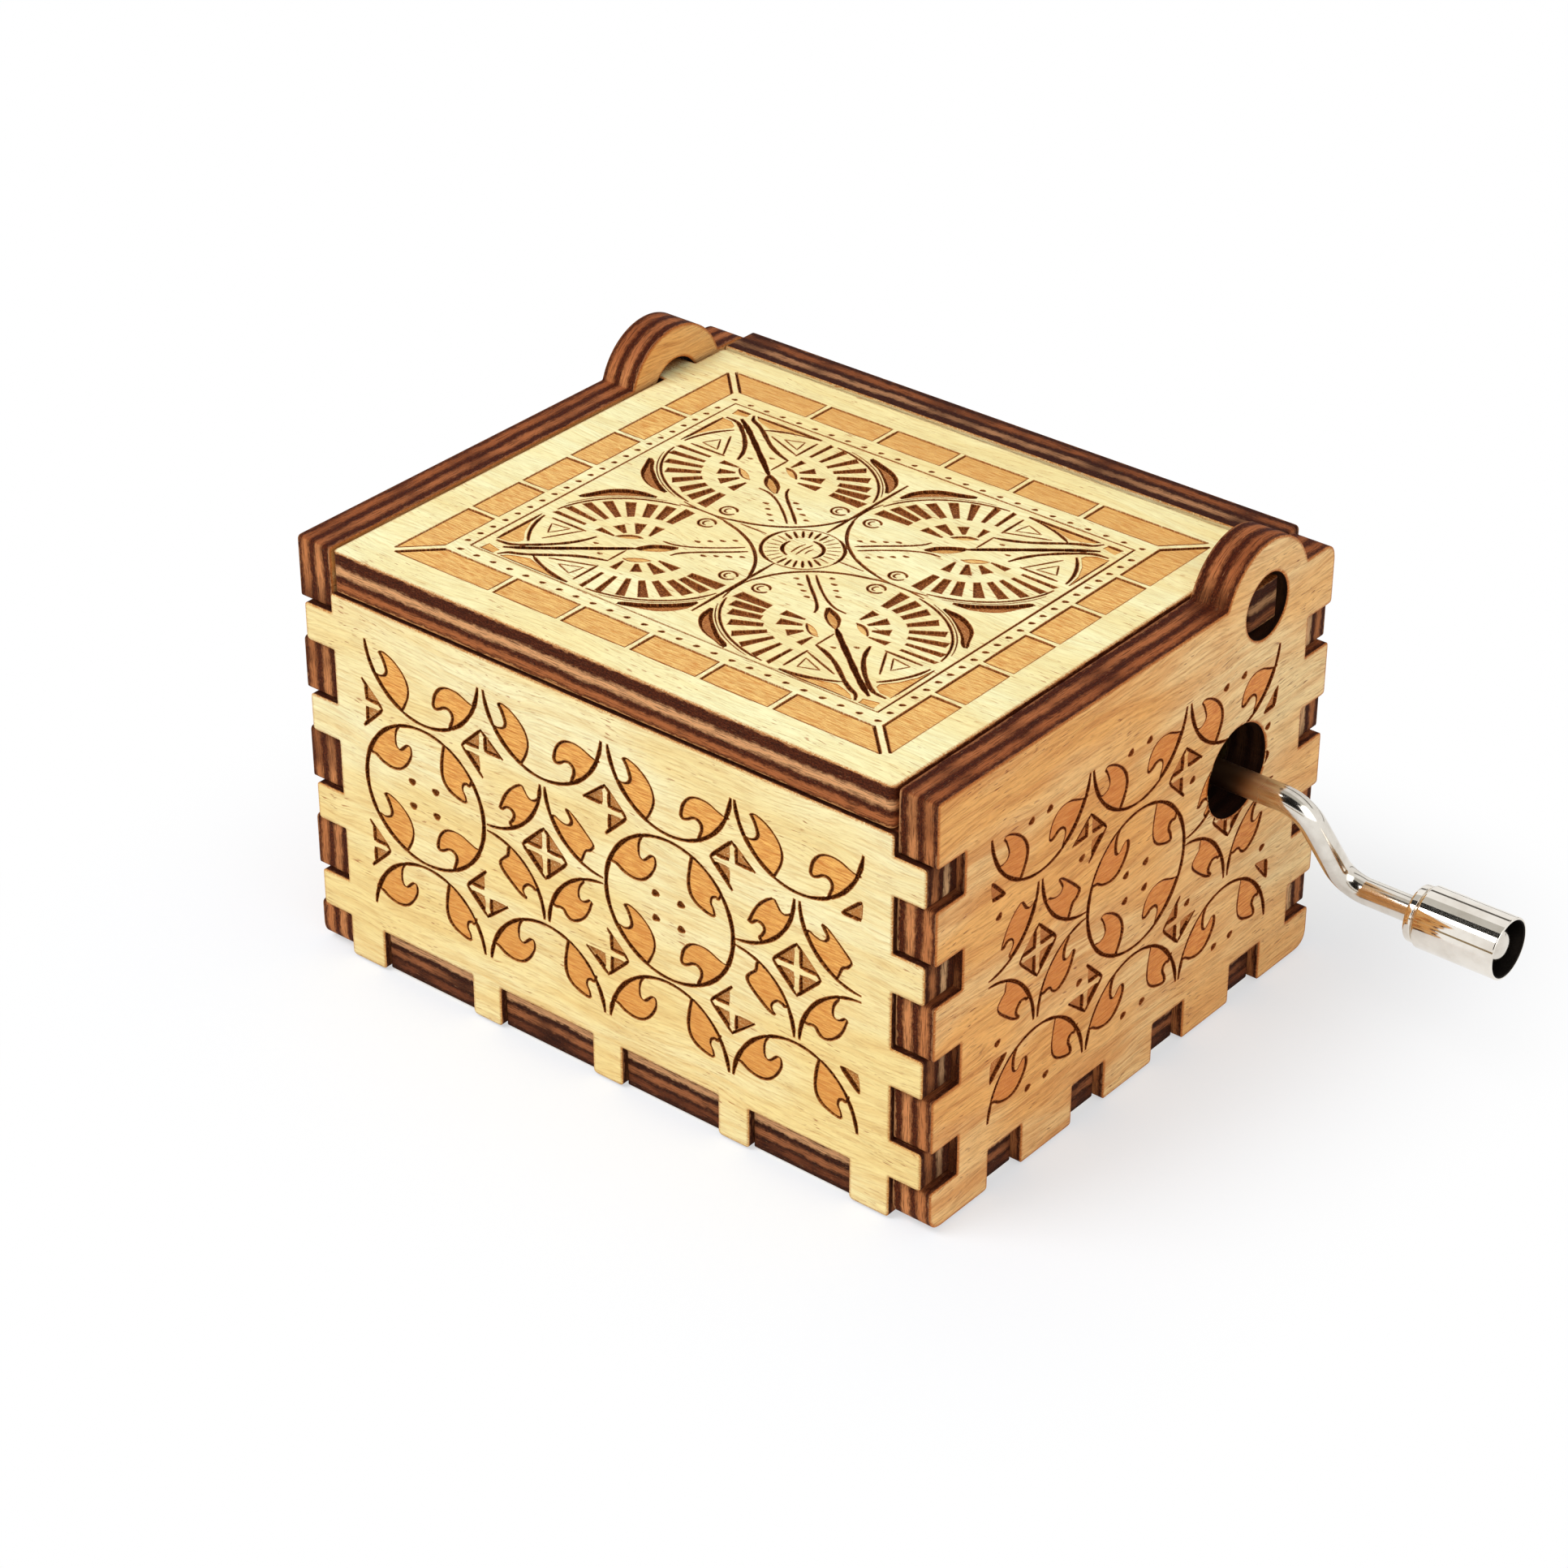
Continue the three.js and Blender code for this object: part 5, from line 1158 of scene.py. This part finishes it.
# Painted reflection of the side panel on the rod where it leaves the hole: colour, and where it fades out along
# X in metres.
ROD_BROWN_REFLECTION = ((150, 112, 80), 0.0325, 0.0375)
chrome = metal("bright chrome", (238, 232, 222), (222, 214, 202), 0.03, 0.05, 0.0000002)
rod_chrome = metal("plated rod", (228, 222, 212), (204, 196, 184), 0.09, 0.09, 0.0000004, ROD_BROWN_REFLECTION)
# Dark metal for the washer, and painted shade inside the knob's recess.
blackened_and_shaded = metal("blackened washer and shaded bore", (52, 46, 42), (30, 27, 25), 0.45, 0.2, 0.000002)
brass = metal("movement brass", (222, 178, 96), (190, 142, 66), 0.16, 0.16, 0.000004)
steel = metal("movement steel", (200, 200, 203), (172, 172, 177), 0.2, 0.18, 0.000004)
zinc = metal("cast zinc", (180, 181, 183), (156, 158, 161), 0.34, 0.2, 0.00001)

# The five ornamented boards and the movement

X, Y, Z = np.eye(3)
SIDE_RIM_BURN, TENON_GROWTH = 0.5, 0.8
case_front, case_side = [front_wood, ply_edge], [shaded_side_wood, side_edge]
engraved_board("front_face", "front_panel", X, Z, "case", front_drawing(), case_front, (3.0, 11.0))
engraved_board("back_face", "back_panel", -X, Z, "case", front_drawing(), case_front, (93.0, 55.0))
engraved_board("right_face", "right_side_panel", Y, Z, "case", side_drawing(), case_side, (171.0, 23.0),
               SIDE_RIM_BURN)
engraved_board("left_face", "left_side_panel", -Y, Z, "case", side_drawing().mirrored(), case_side,
               (251.0, 77.0), SIDE_RIM_BURN)
engraved_board("lid_face", "lid", X, Y, "lid", lid_drawing(), [lid_wood, lid_edge], (331.0, 131.0),
               tenons=TENON_GROWTH)

FINISHES = {
    "zinc": (zinc, ["movement_base"]),
    "brass": (brass, ["cylinder_sleeve", "worm", "drive_gear", "front_cylinder_cap", "rear_cylinder_cap",
                      "front_arbor_bush", "rear_arbor_bush", "inner_crank_bush", "outer_crank_bush"]),
    "steel": (steel, ["comb", "comb_screw_1", "comb_screw_2", "base_screw_1", "base_screw_2", "base_screw_3",
                      "bracket_screw_1", "bracket_screw_2", "worm_bracket", "cylinder_arbor", "crank_collar",
                      "crank_clip"]),
}
bodies = frame["record"]["behaviour"]["bodies"]
body_of_node = {member: body for body, members in bodies.items() for member in members}
for slot_name, (surface, members) in FINISHES.items():
    for member in members:
        refined(member, body_of_node[member], surface)
BOTTOM_BEVEL = 0.12
refined("bottom_plate", "case", bottom_ply(), BOTTOM_BEVEL)
refined("knob_washer", body_of_node["knob_washer"], blackened_and_shaded)

# The crank's rod and its knob, both round X; all lengths in mm

CRANK_Y, CRANK_Z = 13.3, 21.8
KNOB_Y, KNOB_Z = 16.3718, 14.1971
ROD, ROD_TURNS, KNOB_TURNS = 1.1, 64, 96
ROD_START, ROD_END = 1.0, 54.2
BENDS_FROM, BENDS_TO, BEND_RADIUS, BEND_STEPS, FLATTENING = 38.2, 40.9, 2.8, 24, 0.05
HEAD_PROFILE = [(ROD_END, ROD), (ROD_END, 1.45), (54.85, 1.45), (55.3, 0.9), (55.42, 0.0)]
KNOB_INNER, KNOB_OUTER, KNOB_RADIUS, KNOB_WALL = 47.5, 55.7, 2.62, 0.28
# Past DARK_BEYOND and inside the rim by DARK_WITHIN, the recess is painted dark as shade.
RECESS, BORE, DARK_BEYOND, DARK_WITHIN = 53.6, 1.3, 53.0, 0.2
KNOB_PROFILE = [
    (RECESS, BORE), (KNOB_INNER, BORE), (KNOB_INNER, 2.4), (KNOB_INNER + 0.7, 2.4), (KNOB_INNER + 0.75, 2.2),
    (KNOB_INNER + 0.9, 2.2), (KNOB_INNER + 0.9, KNOB_RADIUS), (KNOB_OUTER, KNOB_RADIUS),
    (KNOB_OUTER, KNOB_RADIUS - KNOB_WALL), (RECESS, KNOB_RADIUS - KNOB_WALL), (RECESS, BORE),
]


def rounded(corners, radius, steps):
    """A profile, each inner corner b turned into (1-t)2 s + 2t(1-t) b + t2 e, s and e a radius away."""
    p = np.asarray(corners, float)
    made = [p[:1]]
    for a, b, c in zip(p[:-2], p[1:-1], p[2:]):
        la, lc = np.linalg.norm(a - b), np.linalg.norm(c - b)
        cut = min(radius, la / 2, lc / 2)
        t = np.linspace(0, 1, steps)[:, None]
        s, e = b + (a - b) / la * cut, b + (c - b) / lc * cut
        made.append((1 - t) ** 2 * s + 2 * t * (1 - t) * b + t**2 * e)
    made.append(p[-1:])
    return np.vstack(made)


def ring_quads(rows, turns):
    """Quads between neighbouring rings of one grid, closed round the axis."""
    i, j = np.meshgrid(np.arange(rows - 1), np.arange(turns), indexing="ij")
    k = (j + 1) % turns
    return np.stack([i * turns + j, i * turns + k, (i + 1) * turns + k, (i + 1) * turns + j], -1).reshape(-1, 4)


def rod_path():
    """Middle line of the rod, straight runs joined by two arcs, and how far each place is flattened, 0 to 1."""
    corners = np.array([(ROD_START, CRANK_Y, CRANK_Z), (BENDS_FROM, CRANK_Y, CRANK_Z),
                        (BENDS_TO, KNOB_Y, KNOB_Z), (ROD_END, KNOB_Y, KNOB_Z)])
    path, flat = [corners[0]], [0.0]
    for a, b, c in zip(corners[:-2], corners[1:-1], corners[2:]):
        u, w = (b - a) / np.linalg.norm(b - a), (c - b) / np.linalg.norm(c - b)
        turn = math.acos(u @ w)
        start = b - u * BEND_RADIUS * math.tan(turn / 2)
        inward = (w - u * (u @ w)) / math.sin(turn)
        for k in range(BEND_STEPS + 1):
            angle = turn * k / BEND_STEPS
            along, across = math.sin(angle), 1 - math.cos(angle)
            path.append(start + (u * along + inward * across) * BEND_RADIUS)
            flat.append(math.sin(math.pi * k / BEND_STEPS))
    plane = np.cross([1.0, 0, 0], corners[2] - corners[1])
    return np.array(path + [corners[-1]]), np.array(flat + [0.0]), plane / np.linalg.norm(plane)


def swept_rod():
    """Crank rod: rings C(s) + r (cos a u + sin a w) round a path with two bends, then its turned head."""
    path, flat, plane = rod_path()
    tangent = np.empty_like(path)
    tangent[0] = tangent[-1] = (1, 0, 0)
    tangent[1:-1] = path[2:] - path[:-2]
    tangent /= np.linalg.norm(tangent, axis=1)[:, None]
    inner = np.cross(tangent, plane)
    a = np.linspace(0, 2 * np.pi, ROD_TURNS, endpoint=False)
    radius = ROD * (1 - FLATTENING * flat)
    rings = path[:, None] + inner[:, None] * (radius[:, None] * np.cos(a))[..., None]
    rings = rings + plane * (ROD * np.sin(a))[None, :, None]
    head = rounded(HEAD_PROFILE, 0.3, 6)[1:]
    button = np.array([0, KNOB_Y, KNOB_Z]) + head[:, None, :1] * (1, 0, 0)
    button = button + head[:, 1:, None] * (inner[-1] * np.cos(a)[:, None] + plane * np.sin(a)[:, None])
    points = np.vstack([rings, button]).reshape(-1, 3) * MM
    faces = ring_quads(len(path) + len(head), ROD_TURNS)[:, ::-1].tolist() + [list(range(ROD_TURNS))]
    slots = np.zeros(len(faces))
    finished("crank_rod_swept", points, faces, "crank", [rod_chrome], slots, "crank_rod", TURNED_FOLD)


def turned_knob():
    """Knob: (x, y0 + r cos a, z0 + r sin a) for each (x, r) of its profile; its recess gets the dark material,
    painted shade.
    """
    p = rounded(KNOB_PROFILE, 0.22, 7)
    a = np.linspace(0, 2 * np.pi, KNOB_TURNS, endpoint=False)
    x = np.repeat(p[:, 0], KNOB_TURNS).reshape(len(p), KNOB_TURNS)
    points = np.stack([x, KNOB_Y + p[:, 1:] * np.cos(a), KNOB_Z + p[:, 1:] * np.sin(a)], 2).reshape(-1, 3) * MM
    x_mid, r_mid = (p[:-1] + p[1:]).T / 2
    dark = np.repeat((x_mid > DARK_BEYOND) & (r_mid < KNOB_RADIUS - DARK_WITHIN), KNOB_TURNS)
    faces = ring_quads(len(p), KNOB_TURNS).tolist()
    finished("crank_knob_turned", points, faces, "knob", [chrome, blackened_and_shaded], dark, "crank_knob",
             TURNED_FOLD)


swept_rod()
turned_knob()

# Floor, light and camera, in metres

WHITE = (1, 1, 1, 1)
FLOOR_HALF, FLOOR_LEVEL, FLOOR_COLOUR, HALF_BOX = 1.2, -0.0002, (0.87, 0.9, 0.95, 1), (0.032, 0.026, 0.0)
LAMPS = [("key light", (-0.35, -0.5, 0.85), 0.55, 6.6), ("fill light", (0.85, -0.3, 0.5), 0.8, 2.8)]
LIT_PLACE = Vector((0, 0, 0.02))
# Glowing strips that only the metal shows, painted reflections in place of studio flags and the floor's edge:
# angles round the knob's axis, and colour.
STRIP_RADIUS, STRIP_ENDS, STRIP_MIDDLE = 0.6, (-1.1, 0.5), (0.016, 0.014)
PAINTED_STRIPS = [(-14.0, 2.0, (0.05, 0.045, 0.04)), (38.0, 47.0, (0.12, 0.11, 0.1)), (79.0, 106.0, (0.6, 0.59, 0.56)),
         (106.0, 125.0, (0.006, 0.005, 0.004)), (175.0, 182.0, (0.3, 0.22, 0.12))]
# One more painted reflection, upright before the camera, for the dark streak on the rod's bends: azimuths and
# elevations.
BEND_STRIP_SIDES, BEND_STRIP_ENDS, BEND_STRIP_MIDDLE = (-104, -44), (14.0, 58.0), (0.038, 0.014, 0.02)


def seen_directly(n):
    path = n.add("ShaderNodeLightPath").outputs
    mirrored = n.math("MAXIMUM", path["Is Glossy Ray"], path["Is Transmission Ray"])
    return n.math("MAXIMUM", path["Is Camera Ray"], mirrored)


def surroundings():
    """White where it is seen or mirrored, and half as bright as a light."""
    world = bpy.data.worlds.new("studio")
    bpy.context.scene.world = world
    world.use_nodes = True
    world.node_tree.nodes.clear()
    n = Nodes(world.node_tree)
    soft, full = (n.add("ShaderNodeBackground", {"Color": WHITE, "Strength": s}).outputs[0] for s in (0.5, 1.0))
    both_ways = n.add("ShaderNodeMixShader", {0: seen_directly(n), 1: soft, 2: full})
    n.add("ShaderNodeOutputWorld", {0: both_ways.outputs[0]})


def floor_material():
    """Matt near the box, and glowing white further out, a painted light that keeps the box's shadow faint and
    close to it: |place| beyond the box's half size is how far away it is.
    """
    m, n = material("pale floor")
    beyond = n.vector("SUBTRACT", n.vector("ABSOLUTE", n.place())[0], HALF_BOX)[0]
    away = n.vector("LENGTH", n.vector("MAXIMUM", beyond)[0])["Value"]
    # Painted light: the floor glows for camera and mirror rays, over half near the box and fully further out.
    painted_glow = n.times(seen_directly(n), n.plus(n.times(n.ramp(away, 0.0, 0.03), 0.45), 0.55))
    matt = n.add("ShaderNodeBsdfDiffuse", {"Color": FLOOR_COLOUR}).outputs[0]
    white = n.add("ShaderNodeEmission", {"Color": WHITE, "Strength": 1.0}).outputs[0]
    both_ways = n.add("ShaderNodeMixShader", {0: painted_glow, 1: matt, 2: white}).outputs[0]
    n.add("ShaderNodeOutputMaterial", {0: both_ways})
    return m


def pale_floor():
    mesh = bpy.data.meshes.new("floor")
    corners = [(-1, -1), (1, -1), (1, 1), (-1, 1)]
    mesh.from_pydata([(x * FLOOR_HALF, y * FLOOR_HALF, 0) for x, y in corners], [], [(0, 1, 2, 3)])
    mesh.materials.append(floor_material())
    floor = linked("floor", mesh)
    floor.location.z = FLOOR_LEVEL


def lamps():
    for name, at, size, power in LAMPS:
        lamp = bpy.data.lights.new(name, "AREA")
        lamp.size, lamp.energy = size, power
        o = linked(name, lamp)
        o.location = at
        o.rotation_euler = (LIT_PLACE - Vector(at)).to_track_quat("-Z", "Y").to_euler()


def add_painted_strip(name, points, across, colour):
    """A glowing strip of two rows of points, which only mirrors show: a painted reflection."""
    mesh = bpy.data.meshes.new(name)
    mesh.from_pydata(points, [], [(i, i + 1, i + 1 + across, i + across) for i in range(across - 1)])
    m, n = material(name.replace("_", " "))
    painted_glow = n.add("ShaderNodeEmission", {"Color": (*colour, 1), "Strength": 1.0}).outputs[0]
    n.add("ShaderNodeOutputMaterial", {0: painted_glow})
    mesh.materials.append(m)
    flag = linked(name, mesh)
    flag.visible_camera = flag.visible_diffuse = flag.visible_shadow = flag.visible_transmission = False


def painted_strips():
    for k, (low, high, colour) in enumerate(PAINTED_STRIPS):
        a = np.radians(np.linspace(low, high, 6))
        ring = np.stack([np.cos(a), np.sin(a)], 1) * STRIP_RADIUS + STRIP_MIDDLE
        add_painted_strip(f"flag_{k}", [(x, y, z) for x in STRIP_ENDS for y, z in ring], len(ring), colour)
    a, e = np.meshgrid(np.radians(np.linspace(*BEND_STRIP_SIDES, 8)), np.radians(BEND_STRIP_ENDS))
    ball = np.stack([np.cos(a) * np.cos(e), np.sin(a) * np.cos(e), np.sin(e)], -1)
    points = ball * STRIP_RADIUS + BEND_STRIP_MIDDLE
    add_painted_strip("flag_bend", points.reshape(-1, 3).tolist(), a.shape[1], (0.01, 0.009, 0.008))


def photo_camera():
    """Camera fitted to the photograph's corners: its lens, its axes and its place along them."""
    camera = bpy.data.cameras.new("camera")
    camera.lens, camera.sensor_width = 93.8, 36
    o = linked("camera", camera)
    back_way, right_way = Vector((0.5419, -0.6586, 0.5221)), Vector((0.7722, 0.6354, 0))
    up_way = back_way.cross(right_way)
    o.location = Vector((0, 0, 0.021)) + back_way * 0.331177 + right_way * -0.002528 + up_way * -0.004923
    o.rotation_mode = "QUATERNION"
    o.rotation_quaternion = (-back_way).to_track_quat("-Z", "Y")
    bpy.context.scene.camera = o


surroundings()
pale_floor()
lamps()
painted_strips()
bpy.context.scene.view_settings.view_transform = "Standard"
photo_camera()
